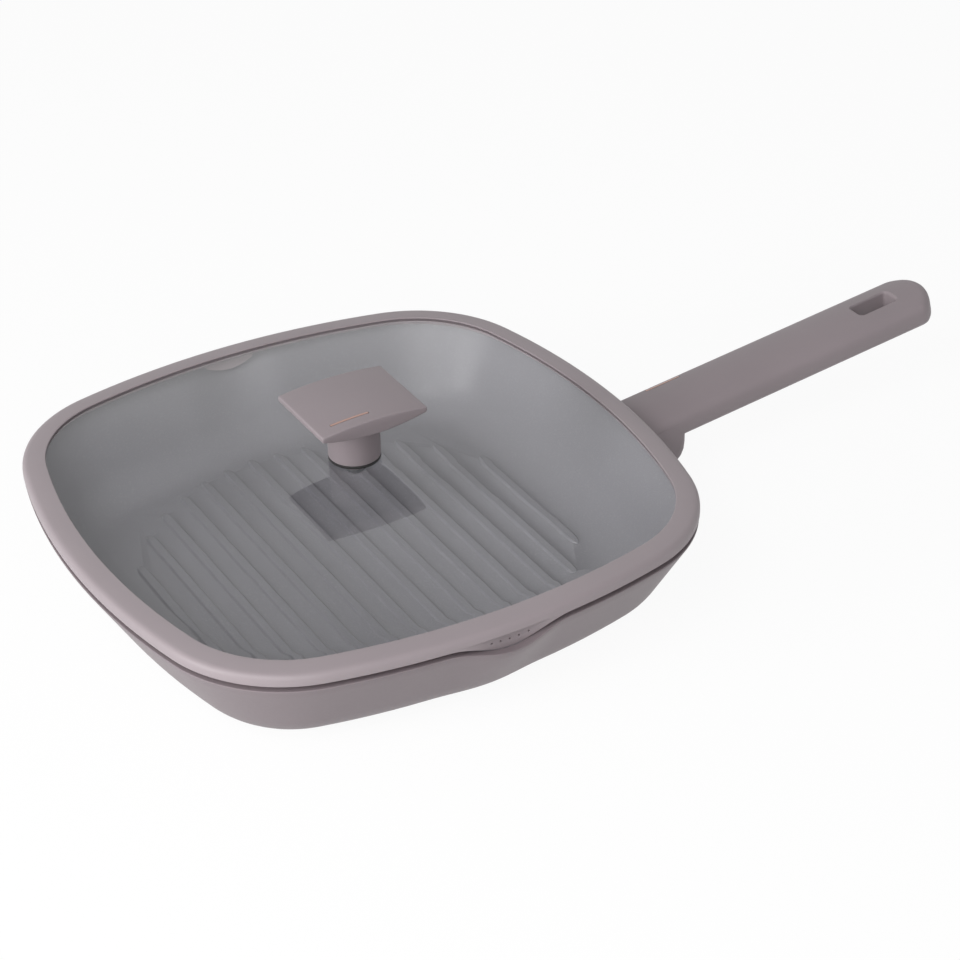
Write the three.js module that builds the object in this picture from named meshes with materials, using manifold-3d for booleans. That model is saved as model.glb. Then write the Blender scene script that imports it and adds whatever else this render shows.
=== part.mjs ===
// Square grill pan with a domed glass lid. Millimetres, +Z up.
// The origin is the middle of the base. The handle points along +X, the grill ribs run along Y,
// and the two pour spouts are in the middle of the -Y and +Y sides.

import * as THREE from 'three';
import { mergeVertices } from 'three/addons/utils/BufferGeometryUtils.js';
import Module from 'manifold-3d';

const wasm = await Module();
wasm.setup();

// Pan outline at the rim: four shallow side arcs joined by four corner arcs
const PAN_HALF_WIDTH = 142;
const SIDE_ARC_RADIUS = 344;
const CORNER_RADIUS = 67;

// Pan wall and floor
const PAN_HEIGHT = 46;
const WALL_LEAN = THREE.MathUtils.degToRad(30);
const WALL_THICKNESS = 4;
const FLOOR_THICKNESS = 5;
const FOOT_RADIUS = 34.5;
const INNER_FOOT_RADIUS = 28;
const RIM_EDGE = 0.8;

// Grill ribs, cut off at a circle
const RIB_COUNT = 14;
const RIB_PITCH = 14.35;
const RIB_WIDTH = 5;
const RIB_TOP_WIDTH = 2.6;
const RIB_HEIGHT = 2.4;
const RIB_TOP_RADIUS = 0.8;
const RIB_FIELD_RADIUS = 104;
const RIB_ROOT = 0.6;

// Pour spouts: the wall swings out and the rim dips
const SPOUT_WIDTH = 54;
const SPOUT_FLARE = 5;
const SPOUT_DIP = 4;

// Perforated steel plate let into the base
const PLATE_RADIUS = 84;
const PLATE_THICKNESS = 1.2;
const PLATE_HOLE_RADIUS = 3.4;
const PLATE_HOLE_RINGS = [
  { radius: 34, count: 12 },
  { radius: 60, count: 18 },
];

// Cast lug on the wall, which the handle slides over
const LUG_WIDTH = 18;
const LUG_HEIGHT = 9;
const LUG_REACH = 24;
const LUG_CORNER = 2;

// Handle: a crowned blade that rises from just under the rim, with a deep heel at its root
const HANDLE_LENGTH = 190;
const HANDLE_WIDTH = 34;
const HANDLE_THICKNESS = 16;
const HANDLE_CROWN = 3.6;
const HANDLE_EDGE_RADIUS = 2.4;
const HANDLE_UNDER_RADIUS = 6;
const HANDLE_END_BULGE = 8.8;
const HANDLE_END_CORNER = 4;
const HANDLE_END_LEAN = THREE.MathUtils.degToRad(12);
const HANDLE_DROP = 8.4;
const HANDLE_RISE = THREE.MathUtils.degToRad(7);
const HEEL_LENGTH = 34.5;
const HEEL_CLEARANCE = 10;
const HEEL_CORNER_RADIUS = 12;
const HEEL_SIDE_RADIUS = 5;
const HEEL_TOP_DEPTH = 6.8;
const SLOT_LENGTH = 23;
const SLOT_WIDTH = 10.4;
const SLOT_CORNER = 2;
const SLOT_TIP_DISTANCE = 19.3;

// Handle screw, turned up into the lug from a counterbore under the heel
const HANDLE_SCREW_REACH = 11;
const HANDLE_SCREW_RADIUS = 3;
const HANDLE_SCREW_HEAD_RADIUS = 5.2;
const HANDLE_SCREW_HEAD_HEIGHT = 3.6;
const HANDLE_SCREW_KEY_RADIUS = 2.4;
const HANDLE_SCREW_KEY_DEPTH = 2;
const COUNTERBORE_DEPTH = 6.5;
const COUNTERBORE_MARGIN = 1;
const COUNTERBORE_FLOOR = 3.6;
const SPRING_WASHER_RADIUS = 5;
const SPRING_WASHER_THICKNESS = 1.4;
const SPRING_WASHER_SPLIT = 1;
const SCREW_CHAMFER = 0.8;

// Metal accent strips, let into the top of the handle and of the knob
const STRIP_WIDTH = 1.6;
const STRIP_DEPTH = 1;
const STRIP_PROUD = 0.15;
const HANDLE_STRIP_START = 28;
const HANDLE_STRIP_LENGTH = 20;
const HANDLE_STRIP_INSET = 4.9;
const KNOB_STRIP_LENGTH = 19.2;
const KNOB_STRIP_INSET = 6.9;

// Lid: tempered glass in a silicone rim that rests on the pan's rim, flush with it outside
const LID_LIP_WIDTH = 3;
const LID_LIP_GAP = 2.7;
const LID_RIM_WIDTH = 11.2;
const LID_RIM_EDGE_RADIUS = 3.4;
const LID_RIM_UNDER_GLASS = 3.9;
const LID_RIM_OVER_GLASS = 1;
const LID_RIM_TOP_FALL = 0.7;
const LID_FLANGE_SETBACK = 0.8;
const LID_FLANGE_THICKNESS = 0.8;
const LID_BEAD_DEPTH = 0.8;
const LID_BEAD_WIDTH = 0.6;
const LID_BEAD_GAP = 0.8;
const GLASS_THICKNESS = 4;
const GLASS_HOLD = 5.2;
const GLASS_FLAT_MARGIN = 1.3;
const GLASS_DOME_RISE = 9.3;
const GLASS_HOLE_RADIUS = 4.4;

// Strainer tabs of the silicone rim, one in each spout, leaning in towards their lower edge
const TAB_DROP = 7.4;
const TAB_INSET = 1.8;
const STRAINER_HOLES = 5;
const STRAINER_PITCH = 4.6;
const STRAINER_HOLE_RADIUS = 0.8;

// Knob: a lens-shaped plate on a round stem
const KNOB_LENGTH = 53.8;
const KNOB_WIDTH = 44.8;
const KNOB_HEIGHT = 29.8;
const KNOB_CROWN = 2;
const KNOB_EDGE = 2.7;
const KNOB_BELLY = 3.5;
const KNOB_STEM_RADIUS = 12.3;
const KNOB_SEAT_MARGIN = 3;

// Knob fastening through the glass
const GASKET_THICKNESS = 1.5;
const LOWER_GASKET_RADIUS = 7.6;
const KNOB_WASHER_RADIUS = 6.4;
const KNOB_WASHER_THICKNESS = 1.2;
const KNOB_SCREW_RADIUS = 2.5;
const KNOB_SCREW_HEAD_RADIUS = 4.4;
const KNOB_SCREW_HEAD_HEIGHT = 3.2;
const KNOB_SCREW_KEY_RADIUS = 2;
const KNOB_SCREW_KEY_DEPTH = 1.8;
const INSERT_RADIUS = 4.5;
const INSERT_LENGTH = 12;

// Clearances between neighbours
const PART_GAP = 0.3;
const SOCKET_GAP = 0.3;
const HANDLE_ROOT_GAP = 0.4;
const STRIP_GAP = 0.25;

// Facets
const SIDE_STEPS = 6;
const CORNER_STEPS = 8;
const SPOUT_STEPS = 12;
const SPOUT_SIDE_STEPS = 2;
const FOOT_STEPS = 5;
const WALL_STEPS = 3;
const DOME_STEPS = 4;
const CROWN_STEPS = 6;
const CORNER_ARC_STEPS = 2;
const HANDLE_END_STEPS = 6;
const ROUND_STEPS = 32;
const SMALL_ROUND_STEPS = 20;
const PLATE_STEPS = 48;
const HOLE_STEPS = 8;
const KEY_SIDES = 6;
const CUT_MARGIN = 2;
const MERGE_DISTANCE = 1e-4;

// Heights of the lid's levels
const glassEdgeBottom = PAN_HEIGHT + LID_RIM_UNDER_GLASS;
const glassEdgeTop = glassEdgeBottom + GLASS_THICKNESS;
const glassTop = glassEdgeTop + GLASS_DOME_RISE;
const glassBottom = glassTop - GLASS_THICKNESS;
const knobFoot = glassTop + GASKET_THICKNESS;

// Levels of the handle's root
const heelSeat = HEEL_CLEARANCE + COUNTERBORE_DEPTH;
const socketBottom = heelSeat + COUNTERBORE_FLOOR;
const lugBottom = socketBottom + SOCKET_GAP;
const lugTop = lugBottom + LUG_HEIGHT;
const lugEnd = PAN_HALF_WIDTH + LUG_REACH;
const handleScrewX = PAN_HALF_WIDTH + HANDLE_SCREW_REACH;

// Horizontal thickness of the leaning wall
const wallAcross = WALL_THICKNESS / Math.cos(WALL_LEAN);

// Makes a closed solid from a geometry: shared corners merged, flat faces dropped, faces turned outwards.
function solid(geometry) {
  const bare = new THREE.BufferGeometry();
  bare.setAttribute('position', geometry.getAttribute('position'));
  bare.setIndex(geometry.getIndex());
  const merged = mergeVertices(bare, MERGE_DISTANCE);
  const corners = merged.getAttribute('position');
  const index = merged.getIndex().array;
  const faces = [];
  let volume = 0;
  const [p, q, r] = [new THREE.Vector3(), new THREE.Vector3(), new THREE.Vector3()];
  for (let i = 0; i < index.length; i += 3) {
    const [a, b, c] = [index[i], index[i + 1], index[i + 2]];
    if (a === b || b === c || c === a) continue;
    faces.push([a, b, c]);
    p.fromBufferAttribute(corners, a);
    q.fromBufferAttribute(corners, b);
    r.fromBufferAttribute(corners, c);
    volume += p.dot(q.cross(r));
  }
  if (volume < 0) faces.forEach((face) => face.reverse());
  const vertProperties = new Float32Array(corners.array);
  const triVerts = new Uint32Array(faces.flat());
  return new wasm.Manifold(new wasm.Mesh({ numProp: 3, vertProperties, triVerts }));
}

// A named part of the scene from a solid.
function part(name, body, material) {
  const { vertProperties, triVerts } = body.getMesh();
  const geometry = new THREE.BufferGeometry();
  geometry.setAttribute('position', new THREE.BufferAttribute(vertProperties, 3));
  geometry.setIndex(new THREE.BufferAttribute(triVerts, 1));
  geometry.computeVertexNormals();
  const mesh = new THREE.Mesh(geometry, material);
  mesh.name = name;
  return mesh;
}

// Closed shape through corners [x, y, radius]; a corner with a radius is rounded by an arc.
function roundedShape(corners) {
  const shape = new THREE.Shape();
  corners.forEach(([x, y, radius = 0], i) => {
    if (radius === 0) {
      if (i === 0) shape.moveTo(x, y);
      else shape.lineTo(x, y);
      return;
    }
    const corner = new THREE.Vector2(x, y);
    const [beforeX, beforeY] = corners.at(i - 1);
    const [afterX, afterY] = corners[(i + 1) % corners.length];
    const before = new THREE.Vector2(beforeX, beforeY).sub(corner).normalize();
    const after = new THREE.Vector2(afterX, afterY).sub(corner).normalize();
    const halfAngle = Math.acos(before.dot(after)) / 2;
    const reach = radius / Math.tan(halfAngle);
    const middle = before.clone().add(after).normalize();
    const centre = corner.clone().addScaledVector(middle, radius / Math.sin(halfAngle));
    const start = corner.clone().addScaledVector(before, reach);
    const end = corner.clone().addScaledVector(after, reach);
    if (i === 0) shape.moveTo(start.x, start.y);
    else shape.lineTo(start.x, start.y);
    const startAngle = start.sub(centre).angle();
    const endAngle = end.sub(centre).angle();
    shape.absarc(centre.x, centre.y, radius, startAngle, endAngle, before.cross(after) > 0);
  });
  return shape;
}

function rectangle(halfLength, halfWidth, radius = 0) {
  return roundedShape([
    [-halfLength, -halfWidth, radius],
    [halfLength, -halfWidth, radius],
    [halfLength, halfWidth, radius],
    [-halfLength, halfWidth, radius],
  ]);
}

// Prisms: a shape in the YZ, XZ or XY plane, drawn out along the third axis.
function prismX(shape, from, to) {
  const turn = new THREE.Matrix4().set(0, 0, 1, from, 1, 0, 0, 0, 0, 1, 0, 0, 0, 0, 0, 1);
  const settings = { depth: to - from, bevelEnabled: false, curveSegments: CORNER_ARC_STEPS };
  return new THREE.ExtrudeGeometry(shape, settings).applyMatrix4(turn);
}

function prismY(shape, from, to) {
  const settings = { depth: to - from, bevelEnabled: false, curveSegments: CORNER_ARC_STEPS };
  return new THREE.ExtrudeGeometry(shape, settings).rotateX(Math.PI / 2).translate(0, to, 0);
}

function prismZ(shape, from, to, curveSegments = CORNER_ARC_STEPS) {
  const settings = { depth: to - from, bevelEnabled: false, curveSegments };
  return new THREE.ExtrudeGeometry(shape, settings).translate(0, 0, from);
}

// Solid of revolution about Z through points [radius, z].
function turned(points, sides = ROUND_STEPS) {
  const profile = points.map(([radius, z]) => new THREE.Vector2(radius, z));
  return new THREE.LatheGeometry(profile, sides).rotateX(Math.PI / 2);
}

function turnedRing(inner, outer, bottom, top) {
  const section = [[inner, bottom], [outer, bottom], [outer, top], [inner, top], [inner, bottom]];
  return turned(section, SMALL_ROUND_STEPS);
}

function cylinder(radius, bottom, top, sides = ROUND_STEPS) {
  return turned([[0, bottom], [radius, bottom], [radius, top], [0, top]], sides);
}

// Evenly spaced values from the first towards the last, without the last.
function steps(from, to, count) {
  return Array.from({ length: count }, (_, k) => from + (to - from) * k / count);
}

// Depth into a spout at a distance along the side: 1 in its middle, 0 at its ends and beyond.
function spoutDepth(along) {
  return Math.abs(along) < SPOUT_WIDTH / 2 ? Math.cos(Math.PI * along / SPOUT_WIDTH) ** 2 : 0;
}

// Samples of the rim's outline: a point, its outward direction and its depth into a spout.
function rimOutline() {
  const sideCentre = PAN_HALF_WIDTH - SIDE_ARC_RADIUS;
  const centreDistance = SIDE_ARC_RADIUS - CORNER_RADIUS;
  const cornerCentre = (sideCentre + Math.sqrt(2 * centreDistance ** 2 - sideCentre ** 2)) / 2;
  const join = Math.atan2(cornerCentre, cornerCentre - sideCentre);
  const spoutEnd = Math.asin(SPOUT_WIDTH / 2 / SIDE_ARC_RADIUS);
  const plainSide = steps(-join, join, SIDE_STEPS);
  const spoutSide = [
    ...steps(-join, -spoutEnd, SPOUT_SIDE_STEPS),
    ...steps(-spoutEnd, spoutEnd, SPOUT_STEPS),
    ...steps(spoutEnd, join, SPOUT_SIDE_STEPS),
  ];
  const corner = steps(join, Math.PI / 2 - join, CORNER_STEPS);
  const samples = [];
  const origin = new THREE.Vector2();
  for (let quarter = 0; quarter < 4; quarter += 1) {
    const hasSpout = quarter % 2 === 1;
    const turn = quarter * Math.PI / 2;
    const add = (centreX, centreY, radius, angle, spout) => {
      const out = new THREE.Vector2(Math.cos(angle), Math.sin(angle));
      const point = new THREE.Vector2(centreX, centreY).addScaledVector(out, radius);
      samples.push({ point: point.rotateAround(origin, turn), out: out.rotateAround(origin, turn), spout });
    };
    (hasSpout ? spoutSide : plainSide).forEach((angle) => {
      const spout = hasSpout ? spoutDepth(SIDE_ARC_RADIUS * Math.sin(angle)) : 0;
      add(sideCentre, 0, SIDE_ARC_RADIUS, angle, spout);
    });
    corner.forEach((angle) => add(cornerCentre, cornerCentre, CORNER_RADIUS, angle, 0));
  }
  return samples;
}

const outline = rimOutline();

// One level of a form that follows the outline, moved out by offset. In a spout it goes further out by
// flare and down by drop. Its share of the outline's size can shrink towards the middle.
function level({ offset, z, flare = 0, drop = 0, share = 1 }) {
  return outline.map(({ point, out, spout }) => {
    const away = offset + flare * spout;
    return [share * (point.x + out.x * away), share * (point.y + out.y * away), z - drop * spout];
  });
}

// Skin over a stack of levels. A ring joins its last level to its first, and a filled form has
// a flat middle at each end.
function skin(levels, isRing = false) {
  const count = outline.length;
  const corners = levels.flat();
  const faces = [];
  const bands = isRing ? levels.length : levels.length - 1;
  for (let i = 0; i < bands; i += 1) {
    const low = i * count;
    const high = ((i + 1) % levels.length) * count;
    for (let j = 0; j < count; j += 1) {
      const k = (j + 1) % count;
      faces.push(low + j, low + k, high + k, low + j, high + k, high + j);
    }
  }
  if (!isRing) {
    const last = (levels.length - 1) * count;
    const bottom = corners.push([0, 0, levels[0][0][2]]) - 1;
    const top = corners.push([0, 0, levels.at(-1)[0][2]]) - 1;
    for (let j = 0; j < count; j += 1) {
      const k = (j + 1) % count;
      faces.push(bottom, k, j, top, last + j, last + k);
    }
  }
  const geometry = new THREE.BufferGeometry();
  geometry.setAttribute('position', new THREE.Float32BufferAttribute(corners.flat(), 3));
  geometry.setIndex(faces);
  return geometry;
}

// Wall's section from the flat floor's edge, round the foot and up the lean, as [offset, z].
function wallSection(rimOffset, floor, footRadius) {
  const tangentZ = floor + footRadius * (1 - Math.sin(WALL_LEAN));
  const tangentOffset = rimOffset - (PAN_HEIGHT - tangentZ) * Math.tan(WALL_LEAN);
  const footCentre = tangentOffset - footRadius * Math.cos(WALL_LEAN);
  const foot = steps(0, Math.PI / 2 - WALL_LEAN, FOOT_STEPS).map((angle) => [
    footCentre + footRadius * Math.sin(angle),
    floor + footRadius * (1 - Math.cos(angle)),
  ]);
  const wall = [...steps(tangentZ, PAN_HEIGHT - RIM_EDGE, WALL_STEPS), PAN_HEIGHT - RIM_EDGE].map((z) => [
    rimOffset - (PAN_HEIGHT - z) * Math.tan(WALL_LEAN),
    z,
  ]);
  return [...foot, ...wall];
}

// A level of the pan, which takes more of the spout's flare and dip the nearer it is to the rim.
function panLevel([offset, z]) {
  const flare = SPOUT_FLARE * z / PAN_HEIGHT;
  const drop = SPOUT_DIP * THREE.MathUtils.smoothstep(z, FLOOR_THICKNESS, PAN_HEIGHT);
  return level({ offset, z, flare, drop });
}

// Half width of the outer wall at a height, in the middle of a plain side.
function wallHalfWidth(height) {
  const section = wallSection(0, 0, FOOT_RADIUS);
  const above = section.findIndex(([, z]) => z >= height);
  const [lowOffset, lowZ] = section[above - 1];
  const [highOffset, highZ] = section[above];
  return PAN_HALF_WIDTH + lowOffset + (highOffset - lowOffset) * (height - lowZ) / (highZ - lowZ);
}

function panShell() {
  const outer = wallSection(0, 0, FOOT_RADIUS);
  const inner = wallSection(-wallAcross, FLOOR_THICKNESS, INNER_FOOT_RADIUS);
  const rim = [
    [-RIM_EDGE, PAN_HEIGHT],
    [-wallAcross + RIM_EDGE, PAN_HEIGHT],
  ];
  return solid(skin([...outer, ...rim, ...inner.reverse()].map(panLevel)));
}

// The pan's outer form with the running gap to the handle's root round it.
function panOutside() {
  const section = wallSection(HANDLE_ROOT_GAP, 0, FOOT_RADIUS);
  return solid(skin([...section, [HANDLE_ROOT_GAP, PAN_HEIGHT]].map(panLevel)));
}

function grillRib(x) {
  const floor = FLOOR_THICKNESS;
  const halfLength = Math.sqrt(RIB_FIELD_RADIUS ** 2 - x ** 2);
  const section = roundedShape([
    [x - RIB_WIDTH / 2, floor - RIB_ROOT],
    [x + RIB_WIDTH / 2, floor - RIB_ROOT],
    [x + RIB_WIDTH / 2, floor],
    [x + RIB_TOP_WIDTH / 2, floor + RIB_HEIGHT, RIB_TOP_RADIUS],
    [x - RIB_TOP_WIDTH / 2, floor + RIB_HEIGHT, RIB_TOP_RADIUS],
    [x - RIB_WIDTH / 2, floor],
  ]);
  return solid(prismY(section, -halfLength, halfLength));
}

// Lug's side view: its root follows the wall's lean, halfway into the wall.
function handleLug() {
  const root = (height) => wallHalfWidth(height) - wallAcross / 2;
  const side = roundedShape([
    [root(lugBottom), lugBottom],
    [lugEnd, lugBottom, LUG_CORNER],
    [lugEnd, lugTop, LUG_CORNER],
    [root(lugTop), lugTop],
  ]);
  return solid(prismY(side, -LUG_WIDTH / 2, LUG_WIDTH / 2));
}

function panBody() {
  let body = panShell().add(handleLug());
  for (let k = 0; k < RIB_COUNT; k += 1) {
    body = body.add(grillRib((k - (RIB_COUNT - 1) / 2) * RIB_PITCH));
  }
  const plateSeat = cylinder(PLATE_RADIUS + PART_GAP, -CUT_MARGIN, PLATE_THICKNESS, PLATE_STEPS);
  const screwBore = cylinder(HANDLE_SCREW_RADIUS + PART_GAP, lugBottom - CUT_MARGIN, lugTop + CUT_MARGIN,
    SMALL_ROUND_STEPS).translate(handleScrewX, 0, 0);
  return body.subtract(solid(plateSeat)).subtract(solid(screwBore));
}

function inductionPlate() {
  let plate = solid(cylinder(PLATE_RADIUS, 0, PLATE_THICKNESS, PLATE_STEPS));
  PLATE_HOLE_RINGS.forEach(({ radius, count }) => {
    steps(0, 2 * Math.PI, count).forEach((angle) => {
      const hole = cylinder(PLATE_HOLE_RADIUS, -CUT_MARGIN, PLATE_THICKNESS + CUT_MARGIN, HOLE_STEPS);
      plate = plate.subtract(solid(hole.translate(radius * Math.cos(angle), radius * Math.sin(angle), 0)));
    });
  });
  return plate;
}

// The blade's own frame: X along its crown line from the pan's rim outwards, Z square to it.
const bladeFrame = new THREE.Matrix4()
  .makeTranslation(PAN_HALF_WIDTH, 0, PAN_HEIGHT - HANDLE_DROP)
  .multiply(new THREE.Matrix4().makeRotationY(-HANDLE_RISE));
const bladeLength = HANDLE_LENGTH / Math.cos(HANDLE_RISE);
const handleHalf = HANDLE_WIDTH / 2;
const crownRadius = (handleHalf ** 2 + HANDLE_CROWN ** 2) / (2 * HANDLE_CROWN);

// Height of the blade's top, below its crown line, at a distance to the side.
function crownFall(side) {
  return Math.sqrt(crownRadius ** 2 - side ** 2) - crownRadius;
}

function crownLine(x) {
  return PAN_HEIGHT - HANDLE_DROP + (x - PAN_HALF_WIDTH) * Math.tan(HANDLE_RISE);
}

function handleBlade() {
  const crown = steps(handleHalf, -handleHalf, CROWN_STEPS).slice(1);
  const section = roundedShape([
    [-handleHalf, -HANDLE_THICKNESS, HANDLE_UNDER_RADIUS],
    [handleHalf, -HANDLE_THICKNESS, HANDLE_UNDER_RADIUS],
    [handleHalf, -HANDLE_CROWN, HANDLE_EDGE_RADIUS],
    ...crown.map((side) => [side, crownFall(side)]),
    [-handleHalf, -HANDLE_CROWN, HANDLE_EDGE_RADIUS],
  ]);
  const inside = -HANDLE_DROP - 2 * wallAcross;
  const endRadius = (handleHalf ** 2 + HANDLE_END_BULGE ** 2) / (2 * HANDLE_END_BULGE);
  const endAngle = Math.asin(handleHalf / endRadius);
  const end = steps(-endAngle, endAngle, HANDLE_END_STEPS).slice(1).map((angle) => [
    bladeLength - endRadius * (1 - Math.cos(angle)),
    endRadius * Math.sin(angle),
  ]);
  const plan = roundedShape([
    [inside, -handleHalf],
    [bladeLength - HANDLE_END_BULGE, -handleHalf, HANDLE_END_CORNER],
    ...end,
    [bladeLength - HANDLE_END_BULGE, handleHalf, HANDLE_END_CORNER],
    [inside, handleHalf],
  ]);
  const cutHalf = HANDLE_THICKNESS / 2 + CUT_MARGIN;
  const lean = new THREE.Matrix4().makeShear(0, 0, 0, 0, -Math.tan(HANDLE_END_LEAN), 0);
  const cut = prismZ(plan, -cutHalf, cutHalf).applyMatrix4(lean).translate(0, 0, -HANDLE_THICKNESS / 2);
  const blade = prismX(section, inside, bladeLength + HANDLE_END_BULGE);
  return solid(blade.applyMatrix4(bladeFrame)).intersect(solid(cut.applyMatrix4(bladeFrame)));
}

function handleHeel() {
  const inside = wallHalfWidth(HEEL_CLEARANCE) - 2 * wallAcross;
  const end = PAN_HALF_WIDTH + HEEL_LENGTH;
  const side = roundedShape([
    [inside, HEEL_CLEARANCE],
    [end, HEEL_CLEARANCE, HEEL_CORNER_RADIUS],
    [end, crownLine(end) - HEEL_TOP_DEPTH],
    [inside, crownLine(inside) - HEEL_TOP_DEPTH],
  ]);
  const plan = roundedShape([
    [inside, -handleHalf],
    [end, -handleHalf, HEEL_SIDE_RADIUS],
    [end, handleHalf, HEEL_SIDE_RADIUS],
    [inside, handleHalf],
  ]);
  const sideForm = solid(prismY(side, -handleHalf, handleHalf));
  return sideForm.intersect(solid(prismZ(plan, 0, crownLine(end))));
}

function hangingSlot() {
  const centre = bladeLength - SLOT_TIP_DISTANCE - SLOT_LENGTH / 2;
  const shape = rectangle(SLOT_LENGTH / 2, SLOT_WIDTH / 2, SLOT_CORNER);
  const cut = prismZ(shape, -HANDLE_THICKNESS - CUT_MARGIN, CUT_MARGIN).translate(centre, 0, 0);
  return solid(cut.applyMatrix4(bladeFrame));
}

function lugSocket() {
  const side = roundedShape([
    [wallHalfWidth(lugBottom) - 2 * wallAcross, lugBottom - SOCKET_GAP],
    [lugEnd + SOCKET_GAP, lugBottom - SOCKET_GAP, LUG_CORNER],
    [lugEnd + SOCKET_GAP, lugTop + SOCKET_GAP, LUG_CORNER],
    [wallHalfWidth(lugBottom) - 2 * wallAcross, lugTop + SOCKET_GAP],
  ]);
  return solid(prismY(side, -LUG_WIDTH / 2 - SOCKET_GAP, LUG_WIDTH / 2 + SOCKET_GAP));
}

// Stepped bore for the handle's screw: counterbore for its head, clearance hole for its shank.
function handleScrewBore() {
  const headRadius = HANDLE_SCREW_HEAD_RADIUS + COUNTERBORE_MARGIN;
  const shankRadius = HANDLE_SCREW_RADIUS + PART_GAP;
  const bore = turned([
    [0, HEEL_CLEARANCE - CUT_MARGIN],
    [headRadius, HEEL_CLEARANCE - CUT_MARGIN],
    [headRadius, heelSeat],
    [shankRadius, heelSeat],
    [shankRadius, lugTop + SOCKET_GAP],
    [0, lugTop + SOCKET_GAP],
  ], SMALL_ROUND_STEPS);
  return solid(bore.translate(handleScrewX, 0, 0));
}

// Strip along the handle, its top following the crown, or the groove that holds it.
function handleStrip(gap, proud) {
  const middle = handleHalf - HANDLE_STRIP_INSET;
  const left = middle - STRIP_WIDTH / 2 - gap;
  const right = middle + STRIP_WIDTH / 2 + gap;
  const section = roundedShape([
    [left, crownFall(left) - STRIP_DEPTH - gap],
    [right, crownFall(right) - STRIP_DEPTH - gap],
    [right, crownFall(right) + proud],
    [left, crownFall(left) + proud],
  ]);
  const strip = prismX(section, HANDLE_STRIP_START - gap, HANDLE_STRIP_START + HANDLE_STRIP_LENGTH + gap);
  return solid(strip.applyMatrix4(bladeFrame));
}

function handle() {
  return handleBlade()
    .add(handleHeel())
    .subtract(panOutside())
    .subtract(hangingSlot())
    .subtract(lugSocket())
    .subtract(handleScrewBore())
    .subtract(handleStrip(STRIP_GAP, CUT_MARGIN));
}

// Screw standing on its head at a height, with a hexagon socket in the head's underside.
function screw({ bottom, headRadius, headHeight, radius, tip, keyRadius, keyDepth }) {
  const body = turned([
    [0, bottom],
    [headRadius - SCREW_CHAMFER, bottom],
    [headRadius, bottom + SCREW_CHAMFER],
    [headRadius, bottom + headHeight],
    [radius, bottom + headHeight],
    [radius, tip - SCREW_CHAMFER],
    [radius - SCREW_CHAMFER, tip],
    [0, tip],
  ], SMALL_ROUND_STEPS);
  return solid(body).subtract(solid(cylinder(keyRadius, bottom - CUT_MARGIN, bottom + keyDepth, KEY_SIDES)));
}

function handleScrew() {
  return screw({
    bottom: heelSeat - SPRING_WASHER_THICKNESS - HANDLE_SCREW_HEAD_HEIGHT,
    headRadius: HANDLE_SCREW_HEAD_RADIUS,
    headHeight: HANDLE_SCREW_HEAD_HEIGHT,
    radius: HANDLE_SCREW_RADIUS,
    tip: lugTop,
    keyRadius: HANDLE_SCREW_KEY_RADIUS,
    keyDepth: HANDLE_SCREW_KEY_DEPTH,
  });
}

function springWasher() {
  const inner = HANDLE_SCREW_RADIUS + PART_GAP;
  const bottom = heelSeat - SPRING_WASHER_THICKNESS;
  const ring = turnedRing(inner, SPRING_WASHER_RADIUS, bottom, heelSeat);
  const split = rectangle(SPRING_WASHER_RADIUS / 2, SPRING_WASHER_SPLIT / 2);
  const cut = prismZ(split, bottom - CUT_MARGIN, heelSeat + CUT_MARGIN).translate(SPRING_WASHER_RADIUS, 0, 0);
  return solid(ring).subtract(solid(cut));
}

// Offsets of the lid's edges from the pan's outline
const lidIn = -LID_RIM_WIDTH;
const glassOut = lidIn + GLASS_HOLD;
const glassFlatIn = lidIn - GLASS_FLAT_MARGIN;

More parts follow.
